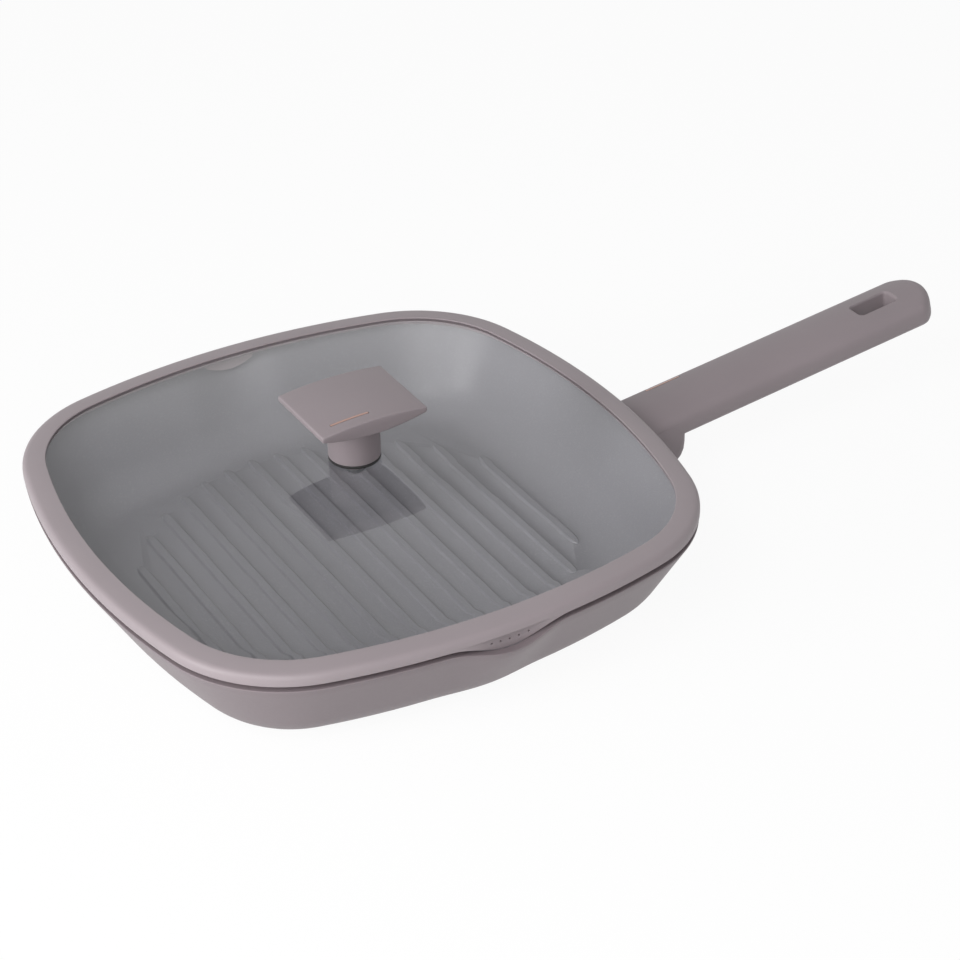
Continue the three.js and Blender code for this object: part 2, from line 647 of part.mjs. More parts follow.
// Silicone rim: an outer lip over the pan's edge, a groove for the glass, a flange under the glass that
// tapers to a thin edge, and a bead that sits just inside the pan's wall.
function lidSiliconeRim() {
  const lipBottom = PAN_HEIGHT + LID_LIP_GAP;
  const innerTop = glassEdgeTop + LID_RIM_OVER_GLASS;
  const outerTop = innerTop - LID_RIM_TOP_FALL;
  const edge = LID_RIM_EDGE_RADIUS;
  const flangeIn = lidIn + LID_FLANGE_SETBACK;
  const beadBottom = PAN_HEIGHT - LID_BEAD_DEPTH;
  const beadTopOut = -wallAcross - LID_BEAD_GAP;
  const beadBottomOut = beadTopOut - LID_BEAD_DEPTH * Math.tan(WALL_LEAN);
  const beadIn = beadBottomOut - LID_BEAD_WIDTH;
  const arcMiddle = edge * (1 - Math.SQRT1_2);
  const ring = [
    level({ offset: -LID_LIP_WIDTH, z: PAN_HEIGHT }),
    level({ offset: -LID_LIP_WIDTH, z: lipBottom, flare: -TAB_INSET, drop: TAB_DROP }),
    level({ offset: 0, z: lipBottom, flare: -TAB_INSET, drop: TAB_DROP }),
    level({ offset: 0, z: lipBottom }),
    level({ offset: 0, z: outerTop - edge }),
    level({ offset: -arcMiddle, z: outerTop - arcMiddle }),
    level({ offset: -edge, z: outerTop }),
    level({ offset: lidIn, z: innerTop }),
    level({ offset: lidIn, z: glassEdgeTop }),
    level({ offset: glassOut + PART_GAP, z: glassEdgeTop }),
    level({ offset: glassOut + PART_GAP, z: glassEdgeBottom }),
    level({ offset: flangeIn, z: glassEdgeBottom }),
    level({ offset: flangeIn, z: glassEdgeBottom - LID_FLANGE_THICKNESS }),
    level({ offset: beadIn, z: PAN_HEIGHT }),
    level({ offset: beadIn, z: beadBottom }),
    level({ offset: beadBottomOut, z: beadBottom }),
    level({ offset: beadTopOut, z: PAN_HEIGHT }),
  ];
  let rim = solid(skin(ring, true));
  const reach = PAN_HALF_WIDTH + CUT_MARGIN;
  const start = PAN_HALF_WIDTH + lidIn - CUT_MARGIN;
  for (let k = 0; k < STRAINER_HOLES; k += 1) {
    const x = (k - (STRAINER_HOLES - 1) / 2) * STRAINER_PITCH;
    const height = lipBottom - TAB_DROP * spoutDepth(x) / 2;
    [-1, 1].forEach((side) => {
      const bore = cylinder(STRAINER_HOLE_RADIUS, start, reach, HOLE_STEPS).rotateX(-side * Math.PI / 2);
      rim = rim.subtract(solid(bore.translate(x, 0, height)));
    });
  }
  return rim;
}

// Tempered glass: a flat edge held in the rim, a shallow dome and a flat seat for the knob.
function lidGlass() {
  const seatShare = (KNOB_STEM_RADIUS + KNOB_SEAT_MARGIN) / (PAN_HALF_WIDTH + glassFlatIn);
  const shares = [...steps(seatShare, 1, DOME_STEPS), 1];
  const dome = (edge) => shares.map((share) => level({
    offset: glassFlatIn,
    z: edge + GLASS_DOME_RISE * (1 - share ** 2) / (1 - seatShare ** 2),
    share,
  }));
  const sheet = solid(skin([
    ...dome(glassEdgeBottom),
    level({ offset: glassOut, z: glassEdgeBottom }),
    level({ offset: glassOut, z: glassEdgeTop }),
    ...dome(glassEdgeTop).reverse(),
  ]));
  return sheet.subtract(solid(cylinder(GLASS_HOLE_RADIUS, glassBottom - CUT_MARGIN, glassTop + CUT_MARGIN)));
}

const knobHalf = KNOB_LENGTH / 2;

function knobTop(x) {
  return knobFoot + KNOB_HEIGHT - KNOB_CROWN * (x / knobHalf) ** 2;
}

function lidKnob() {
  const across = [...steps(-knobHalf, knobHalf, CROWN_STEPS + 2), knobHalf];
  const endBottom = knobTop(knobHalf) - KNOB_EDGE;
  const belly = across.map((x) => [x, endBottom - KNOB_BELLY * (1 - (x / knobHalf) ** 2)]);
  const crown = across.map((x) => [x, knobTop(x)]).reverse();
  const plate = solid(prismY(roundedShape([...belly, ...crown]), -KNOB_WIDTH / 2, KNOB_WIDTH / 2));
  const stem = solid(cylinder(KNOB_STEM_RADIUS, knobFoot, endBottom));
  const insertTop = knobFoot + INSERT_LENGTH + PART_GAP;
  const insertBore = cylinder(INSERT_RADIUS + PART_GAP, knobFoot - CUT_MARGIN, insertTop, SMALL_ROUND_STEPS);
  return plate.add(stem).subtract(solid(insertBore)).subtract(knobStrip(STRIP_GAP, CUT_MARGIN));
}

// Strip along the knob's top, from its middle towards -X, or the groove that holds it.
function knobStrip(gap, proud) {
  const along = [...steps(-KNOB_STRIP_LENGTH - gap, gap, CROWN_STEPS / 2), gap];
  const bottom = along.map((x) => [x, knobTop(x) - STRIP_DEPTH - gap]);
  const top = along.map((x) => [x, knobTop(x) + proud]).reverse();
  const middle = -KNOB_WIDTH / 2 + KNOB_STRIP_INSET;
  const reach = STRIP_WIDTH / 2 + gap;
  return solid(prismY(roundedShape([...bottom, ...top]), middle - reach, middle + reach));
}

// Gasket between the knob and the glass, with a collar that lines the hole.
function knobUpperGasket() {
  const bore = KNOB_SCREW_RADIUS + PART_GAP;
  const collar = GLASS_HOLE_RADIUS - PART_GAP;
  return solid(turned([
    [bore, glassBottom + PART_GAP],
    [collar, glassBottom + PART_GAP],
    [collar, glassTop],
    [KNOB_STEM_RADIUS, glassTop],
    [KNOB_STEM_RADIUS, knobFoot],
    [bore, knobFoot],
    [bore, glassBottom + PART_GAP],
  ]));
}

const washerTop = glassBottom - GASKET_THICKNESS;
const washerBottom = washerTop - KNOB_WASHER_THICKNESS;
const knobScrewClearance = KNOB_SCREW_RADIUS + PART_GAP;

function knobScrew() {
  return screw({
    bottom: washerBottom - KNOB_SCREW_HEAD_HEIGHT,
    headRadius: KNOB_SCREW_HEAD_RADIUS,
    headHeight: KNOB_SCREW_HEAD_HEIGHT,
    radius: KNOB_SCREW_RADIUS,
    tip: knobFoot + INSERT_LENGTH,
    keyRadius: KNOB_SCREW_KEY_RADIUS,
    keyDepth: KNOB_SCREW_KEY_DEPTH,
  });
}

const finish = (color, roughness, metalness = 0) => new THREE.MeshStandardMaterial({ color, roughness, metalness });
const coatedAluminium = finish('#8b8285', 0.55, 0.1);
const softTouch = finish('#948a8d', 0.6);
const silicone = finish('#9b9094', 0.55);
const temperedGlass = finish('#c9d0d2', 0.05);
temperedGlass.transparent = true;
temperedGlass.opacity = 0.3;
const roseMetal = finish('#d2a08c', 0.3, 1);
const steel = finish('#b9babc', 0.35, 1);
const brass = finish('#b99d5f', 0.35, 1);
const darkRubber = finish('#2c2a2b', 0.7);

const pan = new THREE.Group();
pan.add(
  part('pan_body', panBody(), coatedAluminium),
  part('induction_plate', inductionPlate(), steel),
  part('handle', handle(), softTouch),
  part('handle_accent_strip', handleStrip(0, STRIP_PROUD), roseMetal),
);

const handleFastening = new THREE.Group();
handleFastening.position.x = handleScrewX;
handleFastening.add(
  part('handle_screw', handleScrew(), steel),
  part('handle_spring_washer', springWasher(), steel),
);
pan.add(handleFastening);

const lid = new THREE.Group();
lid.add(
  part('lid_glass', lidGlass(), temperedGlass),
  part('lid_silicone_rim', lidSiliconeRim(), silicone),
  part('lid_knob', lidKnob(), softTouch),
  part('knob_accent_strip', knobStrip(0, STRIP_PROUD), roseMetal),
  part('knob_upper_gasket', knobUpperGasket(), darkRubber),
  part('knob_lower_gasket', solid(turnedRing(knobScrewClearance, LOWER_GASKET_RADIUS, washerTop, glassBottom)),
    silicone),
  part('knob_washer', solid(turnedRing(knobScrewClearance, KNOB_WASHER_RADIUS, washerBottom, washerTop)), steel),
  part('knob_screw', knobScrew(), steel),
  part('knob_threaded_insert', solid(turnedRing(knobScrewClearance, INSERT_RADIUS, knobFoot,
    knobFoot + INSERT_LENGTH)), brass),
);

const grillPan = new THREE.Group();
grillPan.add(pan, lid);

export default grillPan;
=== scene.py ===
"""Looks of a square grill pan with a domed glass lid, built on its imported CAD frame.

Metres, +Z up. The origin is the middle of the base, the handle points along +X,
the grill ribs run along Y and the pour spouts are in the -Y and +Y sides.
"""

import math

import bmesh
import bpy
from bpy.props import FloatProperty, FloatVectorProperty, IntProperty, PointerProperty
from mathutils import Matrix, Vector


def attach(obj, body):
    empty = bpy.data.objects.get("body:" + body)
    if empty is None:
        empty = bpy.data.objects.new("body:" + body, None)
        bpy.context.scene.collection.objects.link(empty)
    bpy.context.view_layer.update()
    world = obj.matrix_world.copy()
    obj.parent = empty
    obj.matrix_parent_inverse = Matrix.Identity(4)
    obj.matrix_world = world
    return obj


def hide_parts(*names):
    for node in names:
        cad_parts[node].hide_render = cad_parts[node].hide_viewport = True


bl_info = {
    "name": "Grill Pan with Glass Lid",
    "version": (1, 0, 0),
    "blender": (4, 5, 0),
    "location": "View3D > Sidebar > Grill Pan",
    "description": "Builds a square grill pan with a long handle and a domed glass lid",
    "category": "Add Mesh",
}

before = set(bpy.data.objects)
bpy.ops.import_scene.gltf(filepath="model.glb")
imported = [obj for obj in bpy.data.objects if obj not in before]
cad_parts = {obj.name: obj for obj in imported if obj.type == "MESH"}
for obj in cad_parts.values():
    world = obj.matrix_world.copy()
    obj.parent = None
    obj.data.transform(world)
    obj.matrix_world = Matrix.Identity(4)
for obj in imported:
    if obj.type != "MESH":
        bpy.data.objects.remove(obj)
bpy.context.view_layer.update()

MM = 0.001

# Facets of the smooth forms
SIDE_STEPS = 20
CORNER_STEPS = 20
SPOUT_STEPS = 32
SPOUT_SIDE_STEPS = 6
FOOT_STEPS = 14
WALL_STEPS = 6
EDGE_STEPS = 5
RIB_STEPS = 18
RIB_END_STEPS = 6
DOME_STEPS = 28
BLADE_STEPS = 24
BLADE_COLUMNS = 18
BLADE_END_STEPS = 12
KNOB_STEPS = 32
ROUND_STEPS = 96
BORE_STEPS = 32
SOFT_EDGE_STEPS = 4

WELD_DISTANCE = 0.001 * MM
SHARP_ANGLE = math.radians(32)

# Strength of the relief in the sprayed and moulded skins
SKIN_RELIEF = 0.5

# Sockets of the Mix node that hold its two colours, and its colour output
MIX_FIRST = 6
MIX_SECOND = 7
MIX_RESULT = 2


def linear(hex_colour):
    """Linear RGB of an sRGB colour written as #rrggbb."""
    shares = [int(hex_colour[i:i + 2], 16) / 255 for i in (1, 3, 5)]
    return [s / 12.92 if s <= 0.04045 else ((s + 0.055) / 1.055) ** 2.4 for s in shares]


def length(name, millimetres, description):
    return FloatProperty(
        name=name, description=description, default=millimetres * MM, unit="LENGTH", precision=4
    )


def angle(name, degrees, description):
    return FloatProperty(name=name, description=description, default=math.radians(degrees), subtype="ANGLE")


def power(name, watts, description):
    return FloatProperty(name=name, description=description, default=watts, unit="POWER")


def paint(name, hex_colour, description):
    return FloatVectorProperty(
        name=name, description=description, default=linear(hex_colour), subtype="COLOR", min=0, max=1
    )


class PanSizes(bpy.types.PropertyGroup):
    """Sizes of the cast pan and of the plate in its base."""

    half_width: length("Half width", 142, "From the middle to the rim in the middle of a side")
    side_arc: length("Side arc", 344, "Radius of the rim's shallow side arcs")
    corner_arc: length("Corner arc", 67, "Radius of the rim's corners")
    height: length("Height", 46, "From the base to the top of the rim")
    wall_lean: angle("Wall lean", 30, "How far the wall leans out")
    wall_thickness: length("Wall thickness", 4, "Thickness of the wall, square to it")
    floor_thickness: length("Floor thickness", 6, "Thickness of the floor between the ribs")
    foot_radius: length("Foot radius", 34.5, "Outer radius between base and wall")
    inner_foot_radius: length("Inner foot radius", 28, "Inner radius between floor and wall")
    rim_round: length("Rim round", 0.8, "How far the rim's edges are rounded")
    spout_width: length("Spout width", 62, "Width of a pour spout along the rim")
    spout_flare: length("Spout flare", 2.8, "How far the wall swings out in a spout")
    spout_dip: length("Spout dip", 4.4, "How far the rim dips in a spout")
    rib_count: IntProperty(name="Ribs", description="Number of grill ribs", default=14, min=1)
    rib_pitch: length("Rib pitch", 14.35, "Distance from rib to rib")
    rib_crest: length("Rib crest", 3.6, "Width of the flat along a rib's top")
    rib_width: length("Rib width", 6.2, "Width of a rib where its toes run out on the floor")
    rib_height: length("Rib height", 1.2, "Height of a rib above the floor")
    rib_field: length("Rib field", 104, "Radius of the circle where the ribs end")
    lug_width: length("Lug width", 18, "Width of the cast lug inside the handle")
    lug_bottom: length("Lug bottom", 20.4, "Height of the lug's underside")
    lug_top: length("Lug top", 29.4, "Height of the lug's top")
    lug_reach: length("Lug reach", 24, "How far the lug reaches out from the rim")
    plate_radius: length("Plate radius", 84, "Radius of the induction plate")
    plate_thickness: length("Plate thickness", 1.2, "Thickness of the induction plate")
    plate_hole: length("Plate hole", 3.4, "Radius of the plate's holes")
    plate_gap: length("Plate gap", 0.3, "Gap round the plate in its seat")


class HandleSizes(bpy.types.PropertyGroup):
    """Sizes of the handle and of the strip let into it."""

    length: length("Length", 190.9, "From the rim to the tip, measured level")
    width: length("Width", 34, "Width of the blade")
    thickness: length("Thickness", 16, "Depth of the blade under its crown line")
    crown: length("Crown", 3.6, "How far the top falls from the middle to the edges")
    edge_round: length("Edge round", 4, "Rounding of the top edges")
    under_round: length("Under round", 6, "Rounding of the lower edges")
    end_bulge: length("End bulge", 10.5, "How far the end bows out in plan")
    end_corner: length("End corner", 8, "Radius of the end's corners in plan")
    end_lean: angle("End lean", 8, "How far the end's face leans back")
    drop: length("Drop", 8.4, "How far the crown line starts below the rim")
    rise: angle("Rise", 7, "Slope of the blade")
    heel_length: length("Heel length", 34.5, "From the rim to the back of the heel")
    heel_clearance: length("Heel clearance", 10, "From the table to the heel's underside")
    heel_corner: length("Heel corner", 12, "Radius at the back of the heel's underside")
    heel_side: length("Heel side", 5, "Rounding of the heel's sides")
    heel_depth: length("Heel depth", 6.8, "How far the heel's top lies below the crown line")
    root_gap: length("Root gap", 0.4, "Gap between the handle's root and the pan")
    slot_length: length("Slot length", 23, "Length of the hanging slot")
    slot_width: length("Slot width", 10.4, "Width of the hanging slot")
    slot_corner: length("Slot corner", 2, "Radius of the slot's corners")
    slot_round: length("Slot round", 1.8, "Rounding of the slot's mouth")
    slot_tip: length("Slot to tip", 20.2, "From the slot to the handle's tip")
    socket_gap: length("Socket gap", 0.3, "Gap between the lug and its socket")
    screw_reach: length("Screw reach", 11, "From the rim to the screw under the heel")
    screw_bore: length("Screw bore", 3.3, "Radius of the screw's clearance hole")
    screw_head_bore: length("Head bore", 6.2, "Radius of the recess for the screw's head")
    screw_head_depth: length("Head depth", 6.5, "Depth of the recess for the screw's head")
    strip_start: length("Strip start", 28, "From the rim to the strip, along the blade")
    strip_length: length("Strip length", 20, "Length of the strip")
    strip_inset: length("Strip inset", 4.9, "From the blade's edge to the middle of the strip")


class LidSizes(bpy.types.PropertyGroup):
    """Sizes of the glass and of the silicone rim round it."""

    lip_width: length("Lip width", 4.2, "How far the rim's lip stands out beyond its seat")
    lip_gap: length("Lip gap", 2.7, "Gap between the lip and the pan")
    rim_width: length("Rim width", 11.2, "Width of the silicone rim")
    rim_edge: length("Rim edge", 3.4, "Rounding of the rim's outer top edge")
    rim_inner_edge: length("Rim inner edge", 0.5, "Rounding of the rim's small edges")
    under_glass: length("Under glass", 3.9, "Silicone between the pan and the glass")
    undercut: length("Undercut", 1.4, "How far the rim's inner edge leans back over the glass")
    over_glass: length("Over glass", 1, "Silicone over the glass at the rim's inner edge")
    top_fall: length("Top fall", 0.7, "How far the rim's top falls towards its outer edge")
    flange_setback: length("Flange setback", 0.8, "How far the flange lies outside the rim's inner edge")
    flange_thickness: length("Flange thickness", 0.8, "Thickness of the edge of the flange under the glass")
    bead_depth: length("Bead depth", 0.8, "How far the locating bead reaches into the pan")
    bead_width: length("Bead width", 0.6, "Width of the locating bead's underside")
    bead_gap: length("Bead gap", 0.8, "Gap between the bead and the pan's wall")
    tab_drop: length("Tab drop", 7.8, "How far a strainer tab hangs below the lip")
    tab_inset: length("Tab inset", 2.4, "How far a strainer tab's lower edge lies inside the lip")
    strainer_holes: IntProperty(
        name="Strainer holes", description="Holes in each strainer tab", default=5, min=1
    )
    strainer_pitch: length("Strainer pitch", 4.6, "Distance between strainer holes")
    strainer_radius: length("Strainer radius", 0.5, "Radius of a strainer hole")
    glass_thickness: length("Glass thickness", 4, "Thickness of the glass")
    glass_hold: length("Glass hold", 5.2, "How far the glass reaches into the rim")
    glass_margin: length("Glass margin", 1.3, "Flat margin of the glass inside the rim")
    dome_rise: length("Dome rise", 9.3, "Height of the dome over the glass's edge")
    hole_radius: length("Hole radius", 4.4, "Radius of the hole for the knob")
    groove_gap: length("Groove gap", 0.3, "Gap between the glass's edge and the rim's groove")
    contact_gap: length("Contact gap", 0.05, "Hairline gap between touching pieces of the lid")


class KnobSizes(bpy.types.PropertyGroup):
    """Sizes of the knob, its strip and its seals."""

    length: length("Length", 53.8, "Length of the knob's plate")
    width: length("Width", 44.8, "Width of the knob's plate")
    height: length("Height", 29.8, "From the gasket to the top of the plate")
    crown: length("Crown", 2, "How far the plate's top falls towards its ends")
    edge: length("Edge", 2.7, "Thickness of the plate's ends")
    belly: length("Belly", 3.5, "How far the plate's underside swells in the middle")
    edge_round: length("Edge round", 0.8, "Rounding of the plate's edges")
    stem_radius: length("Stem radius", 12.3, "Radius of the stem")
    stem_edge: length("Stem edge", 0.6, "Rounding of the stem's foot")
    seat_margin: length("Seat margin", 3, "Flat of the glass round the stem")
    bore_radius: length("Bore radius", 4.8, "Radius of the bore for the threaded insert")
    bore_depth: length("Bore depth", 12.3, "Depth of the bore for the threaded insert")
    strip_length: length("Strip length", 19.2, "Length of the strip")
    strip_inset: length("Strip inset", 6.9, "From the plate's edge to the middle of the strip")
    gasket_thickness: length("Gasket thickness", 1.5, "Thickness of the seals on the glass")
    gasket_bore: length("Gasket bore", 2.8, "Radius of the hole in the seals")
    collar_radius: length("Collar radius", 4.1, "Radius of the upper seal's collar in the glass")
    lower_gasket: length("Lower gasket", 7.6, "Radius of the seal under the glass")


class StripSizes(bpy.types.PropertyGroup):
    """Section of the metal strips in the handle and the knob."""

    width: length("Width", 1.2, "Width of a strip")
    depth: length("Depth", 1, "Depth of a strip in its groove")
    proud: length("Proud", 0.15, "How far a strip stands above its groove")
    gap: length("Gap", 0.25, "Gap round a strip in its groove")
    edge_round: length("Edge round", 0.2, "Rounding of a strip's edges")


class FinishColours(bpy.types.PropertyGroup):
    """Colours of the finishes."""

    lacquer: paint("Lacquer", "#877c80", "Outside of the pan")
    non_stick: paint("Non-stick", "#838288", "Inside of the pan")
    fleck: paint("Fleck", "#9d9ca2", "Flecks in the non-stick coat")
    soft_touch: paint("Soft touch", "#988d91", "Handle and knob")
    silicone: paint("Silicone", "#a1969a", "Rim of the lid")
    glass: paint("Glass", "#fdfdfd", "Glass of the lid")
    rose: paint("Rose metal", "#b6978e", "Strips in the handle and the knob")
    rubber: paint("Rubber", "#1d1b1c", "Seals of the knob")
    plate_steel: paint("Plate steel", "#b9babb", "Plate in the base")
    fastener_steel: paint("Fastener steel", "#c3c4c6", "Screws and washers")
    brass: paint("Brass", "#c4a565", "Threaded insert")


class StageSettings(bpy.types.PropertyGroup):
    """Camera, lamps and floor."""

    azimuth: angle("Azimuth", -29.8466, "Direction of the camera round the pan")
    elevation: angle("Elevation", 32.349, "Height of the camera over the table")
    roll: angle("Roll", -1.0343, "Tilt of the camera about its line of sight")
    distance: length("Distance", 1220.83, "From the aim to the camera")
    aim_right: length("Aim right", 57.811, "Aim to the right of the pan's middle")
    aim_up: length("Aim up", 38.579, "Aim above the pan's middle, in the picture")
    aim_height: length("Aim height", 2.958, "Height of the aim's start over the table")
    lens: FloatProperty(
        name="Lens", description="Focal length in millimetres", default=96.205, subtype="DISTANCE_CAMERA"
    )
    floor_colour: paint("Floor", "#f2f2f2", "Colour of the table")
    ambient: FloatProperty(
        name="Ambient", description="Light from all round", default=0.29, subtype="FACTOR"
    )
    low_power: power("Low power", 10.6, "Power of the low soft lamp on the left")
    high_power: power("High power", 6.8, "Power of the high soft lamp on the left")
    front_power: power("Front power", 3.8, "Power of the soft lamp in front")


class GrillPanSettings(bpy.types.PropertyGroup):
    """All settings of the grill pan."""

    pan: PointerProperty(type=PanSizes, name="Pan", description="Sizes of the pan")
    handle: PointerProperty(type=HandleSizes, name="Handle", description="Sizes of the handle")
    lid: PointerProperty(type=LidSizes, name="Lid", description="Sizes of the lid")
    knob: PointerProperty(type=KnobSizes, name="Knob", description="Sizes of the knob")
    strip: PointerProperty(type=StripSizes, name="Strips", description="Section of the strips")
    colours: PointerProperty(type=FinishColours, name="Colours", description="Colours of the finishes")
    stage: PointerProperty(type=StageSettings, name="Stage", description="Camera, lamps and floor")


def spread(first, last, count):
    """Evenly spaced values from the first to the last, in a number of steps."""
    return [first + (last - first) * k / count for k in range(count + 1)]


def clamp(value):
    return min(max(value, 0), 1)


def smooth_step(value, low, high):
    share = clamp((value - low) / (high - low))
    return share * share * (3 - 2 * share)


def bend(start, corner, end):
    """Points of a rounded corner, from its start to its end."""
    start, corner, end = Vector(start), Vector(corner), Vector(end)
    shares = spread(0, 1, EDGE_STEPS)
    return [start * (1 - t) ** 2 + corner * 2 * t * (1 - t) + end * t * t for t in shares]


def rounded_side(reach, low, high, edge):
    """Section of an outer side between two heights, with its lower and upper edges rounded."""
    return [
        *bend((reach - edge, low), (reach, low), (reach, low + edge)),
        *bend((reach, high - edge), (reach, high), (reach - edge, high)),
    ]


def skin(rings, is_loop=False, second_from=None):
    """Closed mesh over a stack of rings. A loop joins the last ring to the first, and other
    stacks get flat ends. Bands from the given ring on, and the last end, take the second material."""
    mesh = bmesh.new()
    rows = [[mesh.verts.new(point) for point in ring] for ring in rings]
    uppers = rows[1:] + rows[:1] if is_loop else rows[1:]
    for i, (low, high) in enumerate(zip(rows, uppers)):
        for j in range(len(low)):
            face = mesh.faces.new((low[j - 1], low[j], high[j], high[j - 1]))
            face.material_index = int(second_from is not None and i >= second_from)
    if not is_loop:
        mesh.faces.new(rows[0][::-1])
        mesh.faces.new(rows[-1]).material_index = int(second_from is not None)
    bmesh.ops.remove_doubles(mesh, verts=mesh.verts, dist=WELD_DISTANCE)
    bmesh.ops.recalc_face_normals(mesh, faces=mesh.faces)
    return mesh


def circle(radius, z, count=ROUND_STEPS, x=0):
    turns = [2 * math.pi * k / count for k in range(count)]
    return [Vector((x + radius * math.cos(turn), radius * math.sin(turn), z)) for turn in turns]


def turned(section, count=ROUND_STEPS, x=0, is_loop=False):
    """Mesh of a section, points (radius, z), turned about an upright axis."""
    return skin([circle(radius, z, count, x) for radius, z in section], is_loop)


def prism(side_view, half_width):
    """Mesh of a side view, points (x, z), drawn out to both sides along Y."""
    return skin([[Vector((x, y, z)) for x, z in side_view] for y in (-half_width, half_width)])


def add_mesh(target, source, matrix=None):
    """Adds one mesh to another and frees it."""
    if matrix is not None:
        source.transform(matrix)
    carrier = bpy.data.meshes.new("carrier")
    source.to_mesh(carrier)
    source.free()
    target.from_mesh(carrier)
    bpy.data.meshes.remove(carrier)


def new_object(name, mesh, *finishes):
    data = bpy.data.meshes.new(name)
    mesh.to_mesh(data)
    mesh.free()
    for finish in finishes:
        data.materials.append(finish)
    piece = bpy.data.objects.new(name, data)
    bpy.context.scene.collection.objects.link(piece)
    return piece


def apply_modifiers(piece):
    graph = bpy.context.evaluated_depsgraph_get()
    shaped = bpy.data.meshes.new_from_object(piece.evaluated_get(graph))
    plain = piece.data
    piece.modifiers.clear()
    piece.data = shaped
    bpy.data.meshes.remove(plain)
    shaped.name = piece.name


def shape_with(piece, operation, mesh):
    """Joins a mesh to a piece (UNION) or cuts it out (DIFFERENCE)."""
    tool = new_object("tool", mesh, *piece.data.materials)
    modifier = piece.modifiers.new(operation.title(), "BOOLEAN")
    modifier.operation = operation
    modifier.solver = "EXACT"
    modifier.object = tool
    apply_modifiers(piece)
    bpy.data.meshes.remove(tool.data)


def soften(piece, width):
    """Rounds the sharp edges of a piece."""
    modifier = piece.modifiers.new("Soft edges", "BEVEL")
    modifier.width = width
    modifier.segments = SOFT_EDGE_STEPS
    modifier.limit_method = "ANGLE"
    modifier.angle_limit = SHARP_ANGLE
    apply_modifiers(piece)


def place(piece, body, slot, *nodes):
    """Shades a finished piece, hangs it on its body and hides the CAD nodes that it stands for; the slot is
    not used.
    """
    if not piece.data.polygons:
        raise RuntimeError(f"{piece.name} has no faces")
    piece.data.shade_smooth()
    piece.data.set_sharp_from_angle(angle=SHARP_ANGLE)
    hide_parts(*nodes)
    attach(piece, body)


def add_node(tree, kind, inputs=None, **settings):
    """Adds a node with its settings, and links or sets its inputs."""
    node = tree.nodes.new(kind)
    for key, value in settings.items():
        setattr(node, key, value)
    for key, value in (inputs or {}).items():
        if isinstance(value, bpy.types.NodeSocket):
            tree.links.new(value, node.inputs[key])
        else:
            node.inputs[key].default_value = value
    return node


def opaque(colour, share=1):
    """A colour, or a share of its light, with full alpha."""
    return [channel * share for channel in colour] + [1]


def new_finish(name):
    """An empty material: its node tree and the object's own coordinates in metres."""
    finish = bpy.data.materials.get(name) or bpy.data.materials.new(name)
    finish.use_nodes = True
    tree = finish.node_tree
    tree.nodes.clear()
    return finish, tree, add_node(tree, "ShaderNodeTexCoord").outputs["Object"]


def use_shader(tree, **inputs):
    """Ends a material in one Principled shader."""
    sockets = {key.replace("_", " "): value for key, value in inputs.items()}
    shader = add_node(tree, "ShaderNodeBsdfPrincipled", sockets)
    add_node(tree, "ShaderNodeOutputMaterial", {"Surface": shader.outputs["BSDF"]})


def matt_coat(name, colour, grain, depth, roughness, sheen):
    """Matt coat or skin: a fine grain in its surface, and a slow drift of tone and gloss over it.
    The tone drifts over about 40 mm, the width of a spray pass or of a mould's polish marks."""
    drift_size = 40 * MM
    dark_share = 0.94
    light_share = 1.06
    gloss_drift = 0.05
    finish, tree, position = new_finish(name)
    drift = add_node(
        tree, "ShaderNodeTexNoise", {"Vector": position, "Scale": 1 / drift_size, "Detail": 3.0}
    )
    dark, light = opaque(colour, dark_share), opaque(colour, light_share)
    tone = add_node(
        tree,
        "ShaderNodeMix",
        {0: drift.outputs["Fac"], MIX_FIRST: dark, MIX_SECOND: light},
        data_type="RGBA",
    )
    surface = add_node(
        tree, "ShaderNodeTexNoise", {"Vector": position, "Scale": 1 / grain, "Detail": 2.0}
    )
    height = surface.outputs["Fac"]
    bump = add_node(
        tree, "ShaderNodeBump", {"Height": height, "Strength": SKIN_RELIEF, "Distance": depth}
    )
    gloss = add_node(
        tree,
        "ShaderNodeMapRange",
        {"Value": height, "To Min": roughness - gloss_drift, "To Max": roughness + gloss_drift},
    )
    use_shader(
        tree,
        Base_Color=tone.outputs[MIX_RESULT],
        Roughness=gloss.outputs["Result"],
        Normal=bump.outputs["Normal"],
        Sheen_Weight=sheen,
        Sheen_Roughness=0.5,
    )
    return finish


def sprayed_lacquer(colours):
    """Heat-proof lacquer sprayed on die-cast aluminium: a satin coat with a soft orange peel.
    The peel's waves are about 1.5 mm wide."""
    return matt_coat(
        "sprayed_lacquer_on_cast_aluminium",
        colours.lacquer,
        grain=1.5 * MM,
        depth=0.02 * MM,
        roughness=0.48,
        sheen=0.0,
    )


def soft_touch_paint(colours):
    """Soft-touch paint on moulded nylon: velvety, with a fine even grain.
    The real grain is about 0.1 mm and is drawn at 0.8 mm, so that it shows."""
    return matt_coat(
        "soft_touch_paint_on_nylon",
        colours.soft_touch,
        grain=0.8 * MM,
        depth=0.015 * MM,
        roughness=0.55,
        sheen=0.1,
    )


def moulded_silicone(colours):
    """Compression-moulded silicone: a satin skin with the mould's faint grain and a dusty sheen.
    The real grain is about 0.2 mm and is drawn at 1 mm, so that it shows."""
    return matt_coat(
        "moulded_silicone",
        colours.silicone,
        grain=1.0 * MM,
        depth=0.012 * MM,
        roughness=0.5,
        sheen=0.12,
    )


def moulded_rubber(colours):
    """Moulded nitrile rubber: dark and dull, with a dry grain drawn at 0.5 mm."""
    return matt_coat(
        "moulded_nitrile_rubber",
        colours.rubber,
        grain=0.5 * MM,
        depth=0.02 * MM,
        roughness=0.65,
        sheen=0.1,
    )


